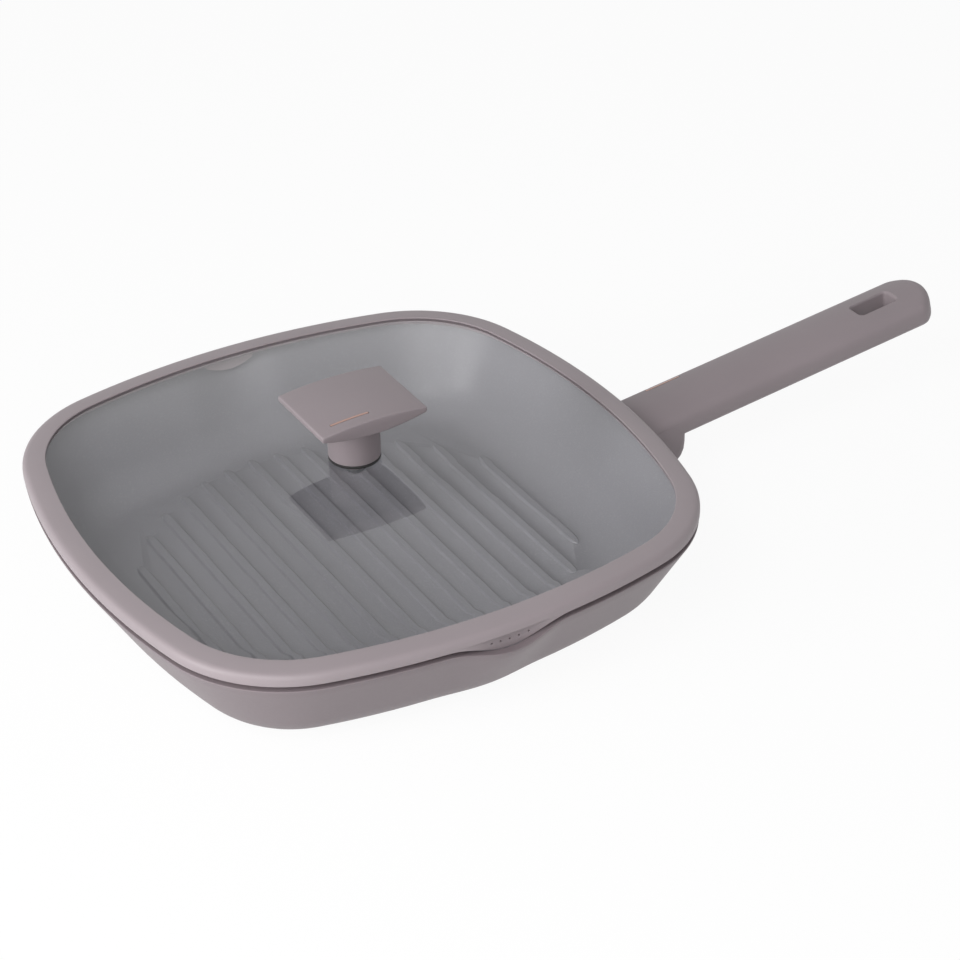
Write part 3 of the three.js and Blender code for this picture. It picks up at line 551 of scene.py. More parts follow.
def flecked_non_stick(colours):
    """Sprayed non-stick coat: satin grey with fine pale mineral flecks.
    The flecks lie about 1.6 mm apart, and the coat's ripple is about 2 mm wide."""
    fleck_spacing = 1.6 * MM
    # Shares of the spacing at which a fleck is still full and at which it has faded out
    fleck_core = 0.12
    fleck_edge = 0.3
    fleck_strength = 0.45
    ripple_size = 2 * MM
    ripple_depth = 0.02 * MM
    smoothest = 0.34
    roughest = 0.42
    finish, tree, position = new_finish("sprayed_non_stick_coat")
    cells = add_node(tree, "ShaderNodeTexVoronoi", {"Vector": position, "Scale": 1 / fleck_spacing})
    flecks = add_node(
        tree,
        "ShaderNodeMapRange",
        {
            "Value": cells.outputs["Distance"],
            "From Min": fleck_core,
            "From Max": fleck_edge,
            "To Min": fleck_strength,
            "To Max": 0.0,
        },
    )
    grey, pale = opaque(colours.non_stick), opaque(colours.fleck)
    tone = add_node(
        tree,
        "ShaderNodeMix",
        {0: flecks.outputs["Result"], MIX_FIRST: grey, MIX_SECOND: pale},
        data_type="RGBA",
    )
    ripple = add_node(
        tree, "ShaderNodeTexNoise", {"Vector": position, "Scale": 1 / ripple_size, "Detail": 2.0}
    )
    height = ripple.outputs["Fac"]
    bump = add_node(
        tree, "ShaderNodeBump", {"Height": height, "Strength": SKIN_RELIEF, "Distance": ripple_depth}
    )
    gloss = add_node(
        tree, "ShaderNodeMapRange", {"Value": height, "To Min": smoothest, "To Max": roughest}
    )
    use_shader(
        tree,
        Base_Color=tone.outputs[MIX_RESULT],
        Roughness=gloss.outputs["Result"],
        Normal=bump.outputs["Normal"],
    )
    return finish


def tempered_glass(colours):
    """Tempered soda-lime glass: clear and almost colourless, with a face that mirrors more at a slant.
    Its roller wave is about 60 mm long and shows only in the reflections."""
    wave_length = 60 * MM
    wave_depth = 0.1 * MM
    wave_relief = 0.1
    polish = 0.02
    index = 1.52
    finish, tree, position = new_finish("tempered_soda_lime_glass")
    wave = add_node(
        tree, "ShaderNodeTexNoise", {"Vector": position, "Scale": 1 / wave_length, "Detail": 1.0}
    )
    bump = add_node(
        tree,
        "ShaderNodeBump",
        {"Height": wave.outputs["Fac"], "Strength": wave_relief, "Distance": wave_depth},
    )
    normal = bump.outputs["Normal"]
    tint = opaque(colours.glass)
    refracted = add_node(
        tree, "ShaderNodeBsdfRefraction", {"Color": tint, "Roughness": 0.0, "IOR": index}
    )
    mirrored = add_node(
        tree,
        "ShaderNodeBsdfAnisotropic",
        {"Color": opaque((1, 1, 1)), "Roughness": polish, "Normal": normal},
    )
    slant = add_node(tree, "ShaderNodeFresnel", {"IOR": index, "Normal": normal})
    outside = add_node(
        tree,
        "ShaderNodeMixShader",
        {0: slant.outputs["Fac"], 1: refracted.outputs["BSDF"], 2: mirrored.outputs["BSDF"]},
    )
    side = add_node(tree, "ShaderNodeNewGeometry")
    seen = add_node(
        tree,
        "ShaderNodeMixShader",
        {0: side.outputs["Backfacing"], 1: outside.outputs["Shader"], 2: refracted.outputs["BSDF"]},
    )
    # Light goes straight through, so that it reaches the pan under the lid
    path = add_node(tree, "ShaderNodeLightPath")
    lit_through = add_node(
        tree,
        "ShaderNodeMath",
        {0: path.outputs["Is Shadow Ray"], 1: path.outputs["Is Diffuse Ray"]},
        operation="MAXIMUM",
    )
    clear = add_node(tree, "ShaderNodeBsdfTransparent", {"Color": tint})
    either = add_node(
        tree,
        "ShaderNodeMixShader",
        {0: lit_through.outputs["Value"], 1: seen.outputs["Shader"], 2: clear.outputs["BSDF"]},
    )
    add_node(tree, "ShaderNodeOutputMaterial", {"Surface": either.outputs["Shader"]})
    return finish


def worked_metal(name, colour, roughness, line_spacing, stretch):
    """Bare metal with the fine lines of its last tool or of its rolling.
    The lines are drawn out along the axes where stretch is small."""
    line_depth = 0.01 * MM
    line_relief = 0.4
    gloss_drift = 0.06
    dark_share = 0.92
    finish, tree, position = new_finish(name)
    mapping = add_node(tree, "ShaderNodeMapping", {"Vector": position, "Scale": stretch})
    along = mapping.outputs["Vector"]
    lines = add_node(
        tree, "ShaderNodeTexNoise", {"Vector": along, "Scale": 1 / line_spacing, "Detail": 3.0}
    )
    height = lines.outputs["Fac"]
    bump = add_node(
        tree, "ShaderNodeBump", {"Height": height, "Strength": line_relief, "Distance": line_depth}
    )
    gloss = add_node(
        tree,
        "ShaderNodeMapRange",
        {"Value": height, "To Min": roughness - gloss_drift, "To Max": roughness + gloss_drift},
    )
    tone = add_node(
        tree,
        "ShaderNodeMix",
        {0: height, MIX_FIRST: opaque(colour, dark_share), MIX_SECOND: opaque(colour)},
        data_type="RGBA",
    )
    use_shader(
        tree,
        Base_Color=tone.outputs[MIX_RESULT],
        Metallic=1.0,
        Roughness=gloss.outputs["Result"],
        Normal=bump.outputs["Normal"],
    )
    return finish


def anodised_rose(colours):
    """Brushed and anodised rose aluminium: satin, with hairlines along the strip.
    Hairlines of about 0.05 mm are drawn at 0.3 mm, so that they show."""
    return worked_metal(
        "anodised_rose_aluminium",
        colours.rose,
        roughness=0.32,
        line_spacing=0.3 * MM,
        stretch=(0.05, 1, 1),
    )


def rolled_stainless(colours):
    """Rolled and stamped stainless sheet: satin, with rolling lines along X drawn at 0.8 mm."""
    return worked_metal(
        "rolled_stainless_sheet",
        colours.plate_steel,
        roughness=0.34,
        line_spacing=0.8 * MM,
        stretch=(0.04, 1, 1),
    )


def turned_stainless(colours):
    """Turned stainless steel: bright, with tool lines round its axis drawn at 0.4 mm."""
    return worked_metal(
        "turned_stainless",
        colours.fastener_steel,
        roughness=0.3,
        line_spacing=0.4 * MM,
        stretch=(0.2, 0.2, 1),
    )


def turned_brass(colours):
    """Turned brass: warm and bright, with tool lines round its axis drawn at 0.4 mm."""
    return worked_metal(
        "turned_brass",
        colours.brass,
        roughness=0.3,
        line_spacing=0.4 * MM,
        stretch=(0.2, 0.2, 1),
    )


def spout_depth(pan, along):
    """Depth into a spout at a distance along the side: 1 in its middle, 0 at its ends and beyond."""
    return math.cos(math.pi * along / pan.spout_width) ** 2 if abs(along) < pan.spout_width / 2 else 0


def rim_outline(pan):
    """Samples of the rim's outline: a point, its outward direction and its depth into a spout."""
    side_centre = pan.half_width - pan.side_arc
    reach = pan.side_arc - pan.corner_arc
    corner_centre = (side_centre + math.sqrt(2 * reach**2 - side_centre**2)) / 2
    join = math.atan2(corner_centre, corner_centre - side_centre)
    spout_end = math.asin(pan.spout_width / 2 / pan.side_arc)
    plain_side = spread(-join, join, SIDE_STEPS)[:-1]
    spout_side = [
        *spread(-join, -spout_end, SPOUT_SIDE_STEPS)[:-1],
        *spread(-spout_end, spout_end, SPOUT_STEPS)[:-1],
        *spread(spout_end, join, SPOUT_SIDE_STEPS)[:-1],
    ]
    corner = spread(join, math.pi / 2 - join, CORNER_STEPS)[:-1]
    samples = []
    for quarter in range(4):
        has_spout = quarter % 2 == 1
        turn = Matrix.Rotation(quarter * math.pi / 2, 2)
        for turn_angle in spout_side if has_spout else plain_side:
            out = Vector((math.cos(turn_angle), math.sin(turn_angle)))
            point = Vector((side_centre, 0)) + out * pan.side_arc
            spout = spout_depth(pan, point.y) if has_spout else 0
            samples.append((turn @ point, turn @ out, spout))
        for turn_angle in corner:
            out = Vector((math.cos(turn_angle), math.sin(turn_angle)))
            point = Vector((corner_centre, corner_centre)) + out * pan.corner_arc
            samples.append((turn @ point, turn @ out, 0))
    return samples


def level(outline, offset, z, flare=0, drop=0, share=1):
    """Ring that follows the outline, moved out by offset. In a spout it goes out by flare and down by drop.
    Its share of the outline's size can shrink towards the middle."""
    ring = []
    for point, out, spout in outline:
        flat = (point + out * (offset + flare * spout)) * share
        ring.append(Vector((flat.x, flat.y, z - drop * spout)))
    return ring


def round_level(outline, radius, z):
    """Round ring with a point for each sample of the outline."""
    ring = []
    for point, _, _ in outline:
        flat = point.normalized() * radius
        ring.append(Vector((flat.x, flat.y, z)))
    return ring


def wall_across(pan):
    """Horizontal thickness of the leaning wall."""
    return pan.wall_thickness / math.cos(pan.wall_lean)


def wall_section(pan, rim_offset, floor, foot_radius):
    """Section of the wall from the flat floor's edge, round the foot and up the lean, as (offset, z)."""
    lean = pan.wall_lean
    tangent_z = floor + foot_radius * (1 - math.sin(lean))
    foot_centre = rim_offset - (pan.height - tangent_z) * math.tan(lean) - foot_radius * math.cos(lean)
    foot = [
        (foot_centre + foot_radius * math.sin(turn), floor + foot_radius * (1 - math.cos(turn)))
        for turn in spread(0, math.pi / 2 - lean, FOOT_STEPS)
    ]
    wall = [
        (rim_offset - (pan.height - z) * math.tan(lean), z)
        for z in spread(tangent_z, pan.height - pan.rim_round, WALL_STEPS)
    ]
    return foot + wall[1:]


def pan_level(pan, outline, section_point):
    """Level of the pan, which takes more of the spout's flare and dip the nearer it is to the rim.
    The flare's small power makes the spout bulge low down on the wall already."""
    flare_power = 0.25
    offset, z = section_point
    flare = pan.spout_flare * (z / pan.height) ** flare_power
    drop = pan.spout_dip * smooth_step(z, pan.floor_thickness, pan.height)
    return level(outline, offset, z, flare, drop)


def grill_ribs(pan):
    """All ribs in one mesh: rounded crests whose toes run out on the floor, and rounded ends."""
    sunk = 0.05 * MM
    root = 0.6 * MM
    end_length = 9 * MM
    least = 0.1
    half = pan.rib_width / 2
    crest = pan.rib_crest / 2
    floor = pan.floor_thickness
    ribs = bmesh.new()
    for k in range(pan.rib_count):
        x = (k - (pan.rib_count - 1) / 2) * pan.rib_pitch
        reach = math.sqrt(pan.rib_field**2 - x**2)
        ends = [(reach - end_length * (1 - math.sin(t)), max(math.cos(t), least))
                for t in spread(0, math.pi / 2, RIB_END_STEPS)]
        stations = [(-y, size) for y, size in reversed(ends)] + ends
        rings = []
        for y, size in stations:
            ring = [Vector((x - half * size, y, floor - root)), Vector((x + half * size, y, floor - root))]
            for side in spread(half, -half, RIB_STEPS):
                fall = clamp((abs(side) - crest) / (half - crest))
                rise = (pan.rib_height + sunk) * size * (0.5 + 0.5 * math.cos(math.pi * fall))
                ring.append(Vector((x + side * size, y, floor - sunk + rise)))
            rings.append(ring)
        add_mesh(ribs, skin(rings))
    for face in ribs.faces:
        face.material_index = 1
    return ribs


def outer_wall_x(pan, z):
    """Distance of the outer wall from the middle, at a height on its straight part,
    in the middle of a side."""
    return pan.half_width - (pan.height - z) * math.tan(pan.wall_lean)


def handle_lug(pan):
    """Cast lug, with its root halfway into the wall."""
    inside = wall_across(pan) / 2
    end = pan.half_width + pan.lug_reach
    corner = 2 * MM
    side_view = [
        (outer_wall_x(pan, pan.lug_bottom) - inside, pan.lug_bottom),
        *rounded_side(end, pan.lug_bottom, pan.lug_top, corner),
        (outer_wall_x(pan, pan.lug_top) - inside, pan.lug_top),
    ]
    return prism(side_view, pan.lug_width / 2)


def build_pan_body(settings):
    """Cast pan with its ribs and its lug, which is bored for the handle's screw."""
    pan, handle = settings.pan, settings.handle
    outline = rim_outline(pan)
    across = wall_across(pan)
    outer = wall_section(pan, 0, 0, pan.foot_radius)
    inner = wall_section(pan, -across, pan.floor_thickness, pan.inner_foot_radius)
    top = pan.height
    rim_out = bend(outer[-1], (-pan.rim_round / 4, top), (-pan.rim_round, top))
    rim_in = bend((pan.rim_round - across, top), (-across, top), inner[-1])
    seat = pan.plate_radius + pan.plate_gap
    base = [round_level(outline, seat, pan.plate_thickness), round_level(outline, seat, 0)]
    section = outer[:-1] + rim_out + rim_in + inner[-2::-1]
    rings = base + [pan_level(pan, outline, point) for point in section]
    inside_from = len(base) + len(outer) + len(rim_out) + len(rim_in) - 2
    lacquer, non_stick = sprayed_lacquer(settings.colours), flecked_non_stick(settings.colours)
    piece = new_object("pan_casting", skin(rings, second_from=inside_from), lacquer, non_stick)
    shape_with(piece, "UNION", grill_ribs(pan))
    shape_with(piece, "UNION", handle_lug(pan))
    bore_x = pan.half_width + handle.screw_reach
    bore = [(handle.screw_bore, z) for z in (pan.lug_bottom / 2, pan.height)]
    shape_with(piece, "DIFFERENCE", turned(bore, BORE_STEPS, bore_x))
    place(piece, "pan", "coated_aluminium", "pan_body")


def build_induction_plate(settings):
    """Stamped disc with two rings of holes, filled from a curve of circles."""
    pan = settings.pan
    # Radius of each ring and its number of holes
    hole_rings = [(34 * MM, 12), (60 * MM, 18)]
    circles = [(0, 0, pan.plate_radius)]
    for radius, count in hole_rings:
        for k in range(count):
            turn = 2 * math.pi * k / count
            circles.append((radius * math.cos(turn), radius * math.sin(turn), pan.plate_hole))
    curve = bpy.data.curves.new("plate_outline", "CURVE")
    curve.dimensions = "2D"
    curve.fill_mode = "BOTH"
    curve.extrude = pan.plate_thickness / 2
    for x, y, radius in circles:
        count = ROUND_STEPS if radius == pan.plate_radius else BORE_STEPS
        spline = curve.splines.new("POLY")
        spline.points.add(count - 1)
        spline.use_cyclic_u = True
        for point, corner in zip(spline.points, circle(radius, 0, count)):
            point.co = (x + corner.x, y + corner.y, 0, 1)
    drawing = bpy.data.objects.new("plate_outline", curve)
    bpy.context.scene.collection.objects.link(drawing)
    graph = bpy.context.evaluated_depsgraph_get()
    stamped = bpy.data.meshes.new_from_object(drawing.evaluated_get(graph))
    bpy.data.curves.remove(curve)
    mesh = bmesh.new()
    mesh.from_mesh(stamped)
    bpy.data.meshes.remove(stamped)
    mesh.transform(Matrix.Translation((0, 0, pan.plate_thickness / 2)))
    bmesh.ops.remove_doubles(mesh, verts=mesh.verts, dist=WELD_DISTANCE)
    piece = new_object("induction_disc", mesh, rolled_stainless(settings.colours))
    place(piece, "pan", "plate_steel", "induction_plate")


def blade_frame(settings):
    """The blade's own frame: X along its crown line from the pan's rim outwards, Z square to it."""
    pan, handle = settings.pan, settings.handle
    start = Matrix.Translation((pan.half_width, 0, pan.height - handle.drop))
    return start @ Matrix.Rotation(-handle.rise, 4, "Y")


def blade_length(handle):
    """Length of the blade along its sloping crown line."""
    return handle.length / math.cos(handle.rise)


def crown_fall(handle, side):
    """Height of the blade's top, below its crown line, at a distance to the side."""
    half = handle.width / 2
    radius = (half**2 + handle.crown**2) / (2 * handle.crown)
    return math.sqrt(radius**2 - side**2) - radius


def crown_line(settings, x):
    """Height of the crown line at a distance from the pan's middle."""
    pan, handle = settings.pan, settings.handle
    return pan.height - handle.drop + (x - pan.half_width) * math.tan(handle.rise)


def blade_outline(settings):
    """Half of the blade's plan, from inside the pan to the tip: distance along, distance
    to the side, and the outward direction."""
    handle = settings.handle
    half = handle.width / 2
    root = -handle.drop - 2 * wall_across(settings.pan)
    end_radius = (half**2 + handle.end_bulge**2) / (2 * handle.end_bulge)
    end_centre = blade_length(handle) - end_radius
    corner = handle.end_corner
    corner_side = half - corner
    corner_along = end_centre + math.sqrt((end_radius - corner) ** 2 - corner_side**2)
    join = math.atan2(corner_side, corner_along - end_centre)
    straight = [(along, half, 0, 1) for along in spread(root, corner_along, BLADE_STEPS)]
    turn_in = [
        (corner_along + corner * math.sin(t), corner_side + corner * math.cos(t), math.sin(t), math.cos(t))
        for t in spread(0, math.pi / 2 - join, EDGE_STEPS + 2)
    ]
    end = [
        (end_centre + end_radius * math.cos(t), end_radius * math.sin(t), math.cos(t), math.sin(t))
        for t in spread(join, 0, BLADE_END_STEPS)
    ]
    return straight + turn_in[1:] + end[1:]


def handle_blade(settings):
    """Crowned blade with rounded edges and a leaning end."""
    handle = settings.handle
    edge, under, bottom = handle.edge_round, handle.under_round, -handle.thickness
    lean_start = blade_length(handle) - 30 * MM
    lean_end = blade_length(handle) - 10 * MM
    rings = []
    for along, side, out_along, out_side in blade_outline(settings):
        inset = max(side - out_side * edge, 0)
        low_inset = max(side - out_side * under, 0)
        back = along - out_along * edge
        brow = crown_fall(handle, side)
        inset_top = crown_fall(handle, inset)
        right = [
            *bend((back, inset, inset_top), (along, side, brow), (along, side, brow - edge)),
            *bend((along, side, bottom + under), (along, side, bottom), (back, low_inset, bottom)),
        ]
        left = [Vector((p.x, -p.y, p.z)) for p in reversed(right)]
        top = [Vector((back, y, crown_fall(handle, y))) for y in spread(-inset, inset, BLADE_COLUMNS)[1:-1]]
        share = smooth_step(along, lean_start, lean_end)
        ring = right + left + top
        for point in ring:
            point.x -= math.tan(handle.end_lean) * (point.z + handle.thickness / 2) * share
        rings.append(ring)
    blade = skin(rings)
    blade.transform(blade_frame(settings))
    return blade


def handle_heel(settings):
    """Deep heel under the blade's root, rounded at its sides, its back and its underside."""
    pan, handle = settings.pan, settings.handle
    half = handle.width / 2
    inside = outer_wall_x(pan, handle.heel_clearance) - 2 * wall_across(pan)
    side_round = handle.heel_side
    corner = handle.heel_corner
    rings = []
    turns = spread(0, math.pi / 2, EDGE_STEPS)
    sides = [(half - side_round * (1 - math.sin(t)), side_round * (1 - math.cos(t))) for t in turns]
    for y, pull in [(-y, pull) for y, pull in reversed(sides)] + sides:
        end = pan.half_width + handle.heel_length - pull
        low = handle.heel_clearance + pull / 2
        top_end = crown_line(settings, end) - handle.heel_depth
        side_view = [
            (inside, low),
            *bend((end - corner, low), (end, low), (end, low + corner)),
            (end, top_end),
            (inside, crown_line(settings, inside) - handle.heel_depth),
        ]
        rings.append([Vector((x, y, z)) for x, z in side_view])
    return skin(rings)


def hanging_slot(settings):
    """Cutter for the slot, whose mouth is rounded above and below."""
    handle = settings.handle
    centre = blade_length(handle) - handle.slot_tip - handle.slot_length / 2
    mouth = handle.slot_round
    drawn_share = 0.9
    heights = []
    for t in spread(0, drawn_share, EDGE_STEPS):
        heights.append((-mouth * (1 - t), mouth * (1 - math.sqrt(1 - t * t))))
    heights.append((mouth, 2 * mouth))
    lower = [(-handle.thickness - h, grow) for h, grow in reversed(heights)]
    rings = []
    for h, grow in lower + heights:
        ring = []
        radius = handle.slot_corner + grow
        for quarter, (along_sign, side_sign) in enumerate([(1, 1), (-1, 1), (-1, -1), (1, -1)]):
            x = centre + along_sign * (handle.slot_length / 2 - handle.slot_corner)
            y = side_sign * (handle.slot_width / 2 - handle.slot_corner)
            for t in spread(0, math.pi / 2, EDGE_STEPS):
                turn = t + quarter * math.pi / 2
                ring.append(Vector((x + radius * math.cos(turn), y + radius * math.sin(turn), h)))
        rings.append(ring)
    slot = skin(rings)
    slot.transform(blade_frame(settings))
    return slot


def lug_socket(settings):
    """Cutter for the socket that takes the pan's lug."""
    pan, handle = settings.pan, settings.handle
    gap = handle.socket_gap
    inside = outer_wall_x(pan, pan.lug_bottom) - 2 * wall_across(pan)
    end = pan.half_width + pan.lug_reach + gap
    low, high = pan.lug_bottom - gap, pan.lug_top + gap
    return prism([(inside, low), (end, low), (end, high), (inside, high)], pan.lug_width / 2 + gap)


def strip_bar(path, half_width, depth, proud):
    """Bar along a path of points on a surface, each with the surface's height at the bar's two sides."""
    rings = []
    for x, y, left_z, right_z in path:
        rings.append([
            Vector((x, y - half_width, left_z - depth)),
            Vector((x, y + half_width, right_z - depth)),
            Vector((x, y + half_width, right_z + proud)),
            Vector((x, y - half_width, left_z + proud)),
        ])
    return skin(rings)


def handle_strip(settings, gap, proud):
    """Strip along the handle, its top following the crown, or with a gap the groove that holds it."""
    handle, strip = settings.handle, settings.strip
    middle = handle.width / 2 - handle.strip_inset
    half = strip.width / 2 + gap
    heights = crown_fall(handle, middle - half), crown_fall(handle, middle + half)
    start, end = handle.strip_start - gap, handle.strip_start + handle.strip_length + gap
    bar = strip_bar([(start, middle, *heights), (end, middle, *heights)], half, strip.depth + gap, proud)
    bar.transform(blade_frame(settings))
    return bar


def build_handle(settings):
    """Blade and heel in one, cut to the pan's wall, with a slot, a socket, a bore and a groove."""
    pan, handle = settings.pan, settings.handle
    piece = new_object("handle_moulding", handle_blade(settings), soft_touch_paint(settings.colours))
    shape_with(piece, "UNION", handle_heel(settings))
    outline = rim_outline(pan)
    wall = wall_section(pan, handle.root_gap, 0, pan.foot_radius) + [(handle.root_gap, pan.height)]
    shape_with(piece, "DIFFERENCE", skin([level(outline, offset, z) for offset, z in wall]))
    shape_with(piece, "DIFFERENCE", hanging_slot(settings))
    shape_with(piece, "DIFFERENCE", lug_socket(settings))
    bore_x = pan.half_width + handle.screw_reach
    seat = handle.heel_clearance + handle.screw_head_depth
    bore = [
        (handle.screw_head_bore, 0),
        (handle.screw_head_bore, seat),
        (handle.screw_bore, seat),
        (handle.screw_bore, (pan.lug_bottom + pan.lug_top) / 2),
    ]
    shape_with(piece, "DIFFERENCE", turned(bore, BORE_STEPS, bore_x))
    shape_with(piece, "DIFFERENCE", handle_strip(settings, settings.strip.gap, settings.strip.depth))
    place(piece, "pan", "soft_touch_plastic", "handle")


def glass_levels(settings):
    """Heights of the glass's edge: its underside and its top."""
    bottom = settings.pan.height + settings.lid.under_glass
    return bottom, bottom + settings.lid.glass_thickness


def knob_foot(settings):
    """Height of the underside of the knob's stem, on its upper seal."""
    return glass_levels(settings)[1] + settings.lid.dome_rise + settings.knob.gasket_thickness


def build_lid_rim(settings):
    """Silicone rim: a lip over the pan's edge, a groove for the glass, a bead and two strainer tabs."""
    pan, lid = settings.pan, settings.lid
    outline = rim_outline(pan)
    edge, small, hair = lid.rim_edge, lid.rim_inner_edge, lid.contact_gap
    glass_low, glass_high = glass_levels(settings)
    lip_low = pan.height + lid.lip_gap
    inner = -lid.rim_width
    groove = inner + lid.glass_hold + lid.groove_gap
    inner_top = glass_high + lid.over_glass
    outer_top = inner_top - lid.top_fall
    flange = inner + lid.flange_setback
    bead_low = pan.height - lid.bead_depth
    bead_out = -wall_across(pan) - lid.bead_gap
    bead_low_out = bead_out - lid.bead_depth * math.tan(pan.wall_lean)
    bead_in = bead_low_out - lid.bead_width
    # Share of the tab's inset and drop on the way up its hollow face
    hollow = [(1.1, 0.75), (1.15, 0.5), (0.95, 0.25), (0.45, 0.08), (0, 0)]
    tab = [(-lid.lip_width, lip_low), *bend((-small, lip_low), (0, lip_low), (0, lip_low + small))]
    rings = [level(outline, -lid.lip_width, pan.height + hair)]
    rings += [level(outline, offset, z, -lid.tab_inset, lid.tab_drop) for offset, z in tab]
    for i, (inset_share, drop_share) in enumerate(hollow):
        z = lip_low + small * (1 + (i + 1) / len(hollow))
        rings.append(level(outline, 0, z, -lid.tab_inset * inset_share, lid.tab_drop * drop_share))
    section = [
        *bend((0, outer_top - edge), (0, outer_top), (-edge, outer_top)),
        *bend((inner + small, inner_top), (inner, inner_top), (inner, inner_top - small)),
        (inner + lid.undercut, glass_high + hair),
        (groove, glass_high + hair),
        (groove, glass_low - hair),
        (flange, glass_low - hair),
        (flange, glass_low - lid.flange_thickness),
        (bead_in, pan.height),
        (bead_in, bead_low),
        (bead_low_out, bead_low),
        (bead_out, pan.height + hair),
    ]
    rings += [level(outline, offset, z) for offset, z in section]
    piece = new_object("lid_rim_moulding", skin(rings, is_loop=True), moulded_silicone(settings.colours))
    bores = bmesh.new()
    overshoot = 2 * MM
    start, end = pan.half_width + inner - overshoot, pan.half_width + overshoot
    for k in range(lid.strainer_holes):
        x = (k - (lid.strainer_holes - 1) / 2) * lid.strainer_pitch
        z = lip_low - lid.tab_drop * spout_depth(pan, x) / 2
        for side in (-1, 1):
            bore = turned([(lid.strainer_radius, reach) for reach in (start, end)], BORE_STEPS)
            turn = Matrix.Translation((x, 0, z)) @ Matrix.Rotation(-side * math.pi / 2, 4, "X")
            add_mesh(bores, bore, turn)
    shape_with(piece, "DIFFERENCE", bores)
    place(piece, "lid", "silicone", "lid_silicone_rim")


def build_lid_glass(settings):
    """Tempered glass: a flat edge held in the rim, a shallow dome and a flat seat for the knob."""
    pan, lid, knob = settings.pan, settings.lid, settings.knob
    outline = rim_outline(pan)
    glass_low, glass_high = glass_levels(settings)
    flat_in = -lid.rim_width - lid.glass_margin
    edge_out = lid.glass_hold - lid.rim_width
    seat = (knob.stem_radius + knob.seat_margin) / (pan.half_width + flat_in)

    def dome(edge_z):
        rings = [round_level(outline, lid.hole_radius, edge_z + lid.dome_rise)]
        for share in spread(seat, 1, DOME_STEPS):
            z = edge_z + lid.dome_rise * (1 - share**2) / (1 - seat**2)
            rings.append(level(outline, flat_in, z, share=share))
        return rings

    edge = 0.4 * MM
    side = rounded_side(edge_out, glass_low, glass_high, edge)
    rings = dome(glass_low) + [level(outline, offset, z) for offset, z in side] + dome(glass_high)[::-1]
    piece = new_object("lid_glass_dome", skin(rings, is_loop=True), tempered_glass(settings.colours))
    place(piece, "lid", "tempered_glass", "lid_glass")


def knob_top(settings, x):
    """Height of the knob's top at a distance from its middle."""
    knob = settings.knob
    return knob_foot(settings) + knob.height - knob.crown * (x / (knob.length / 2)) ** 2


def knob_strip(settings, gap, proud):
    """Strip along the knob's top, from its middle towards -X, or with a gap the groove that holds it."""
    knob, strip = settings.knob, settings.strip
    middle = knob.strip_inset - knob.width / 2
    path = []
    for x in spread(-knob.strip_length - gap, gap, EDGE_STEPS):
        path.append((x, middle, knob_top(settings, x), knob_top(settings, x)))
    return strip_bar(path, strip.width / 2 + gap, strip.depth + gap, proud)


def build_knob(settings):
    """Lens-shaped plate on a round stem."""
    knob = settings.knob
    half = knob.length / 2
    across = spread(-half, half, KNOB_STEPS)
    end_low = knob_top(settings, half) - knob.edge
    belly = [(x, end_low - knob.belly * (1 - (x / half) ** 2)) for x in across]
    crown = [(x, knob_top(settings, x)) for x in reversed(across)]
    finish = soft_touch_paint(settings.colours)
    piece = new_object("knob_moulding", prism(belly + crown, knob.width / 2), finish)
    soften(piece, knob.edge_round)
    foot = knob_foot(settings)
    radius, edge = knob.stem_radius, knob.stem_edge
    stem = [*bend((radius - edge, foot), (radius, foot), (radius, foot + edge)), (radius, end_low)]
    shape_with(piece, "UNION", turned(stem))
    bore = [(knob.bore_radius, foot + depth) for depth in (-knob.bore_depth, knob.bore_depth)]
    shape_with(piece, "DIFFERENCE", turned(bore, BORE_STEPS))
    shape_with(piece, "DIFFERENCE", knob_strip(settings, settings.strip.gap, settings.strip.depth))
    place(piece, "lid", "soft_touch_plastic", "lid_knob")


def build_strips(settings):
    """Metal bars let into the grooves of the handle and the knob."""
    strip = settings.strip
    bars = [
        ("handle_strip_bar", handle_strip(settings, 0, strip.proud), "pan", "handle_accent_strip"),
        ("knob_strip_bar", knob_strip(settings, 0, strip.proud), "lid", "knob_accent_strip"),
    ]
    rose = anodised_rose(settings.colours)
    for name, mesh, body, node in bars:
        piece = new_object(name, mesh, rose)
        soften(piece, strip.edge_round)
        place(piece, body, "rose_metal", node)


def build_seals(settings):
    """Upper seal with a collar in the glass's hole, and a plain ring under the glass."""
    lid, knob = settings.lid, settings.knob
    edge = 0.4 * MM
    glass_low, glass_high = (z + lid.dome_rise for z in glass_levels(settings))
    foot = knob_foot(settings)
    collar_low = glass_low + lid.contact_gap
    upper = [
        (knob.gasket_bore, collar_low),
        (knob.collar_radius, collar_low),
        (knob.collar_radius, glass_high),
        *rounded_side(knob.stem_radius, glass_high, foot, edge),
        (knob.gasket_bore, foot),
    ]
    low = glass_low - knob.gasket_thickness
    lower = [
        (knob.gasket_bore, low),
        *rounded_side(knob.lower_gasket, low, glass_low, edge),
        (knob.gasket_bore, glass_low),
    ]
    seals = [
        ("upper_seal", upper, moulded_rubber, "gasket_rubber", "knob_upper_gasket"),
        ("lower_seal", lower, moulded_silicone, "silicone", "knob_lower_gasket"),
    ]
    for name, section, finish, slot, node in seals:
        piece = new_object(name, turned(section, is_loop=True), finish(settings.colours))
        place(piece, "lid", slot, node)


def finish_fasteners(settings):
    """The screws, washers and insert keep their CAD shapes and get their metals."""
    steel = turned_stainless(settings.colours)
    brass = turned_brass(settings.colours)
    metals = {
        "handle_screw": steel,
        "handle_spring_washer": steel,
        "knob_washer": steel,
        "knob_screw": steel,
        "knob_threaded_insert": brass,
    }
    for node, metal in metals.items():
        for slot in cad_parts[node].material_slots:
            slot.material = metal


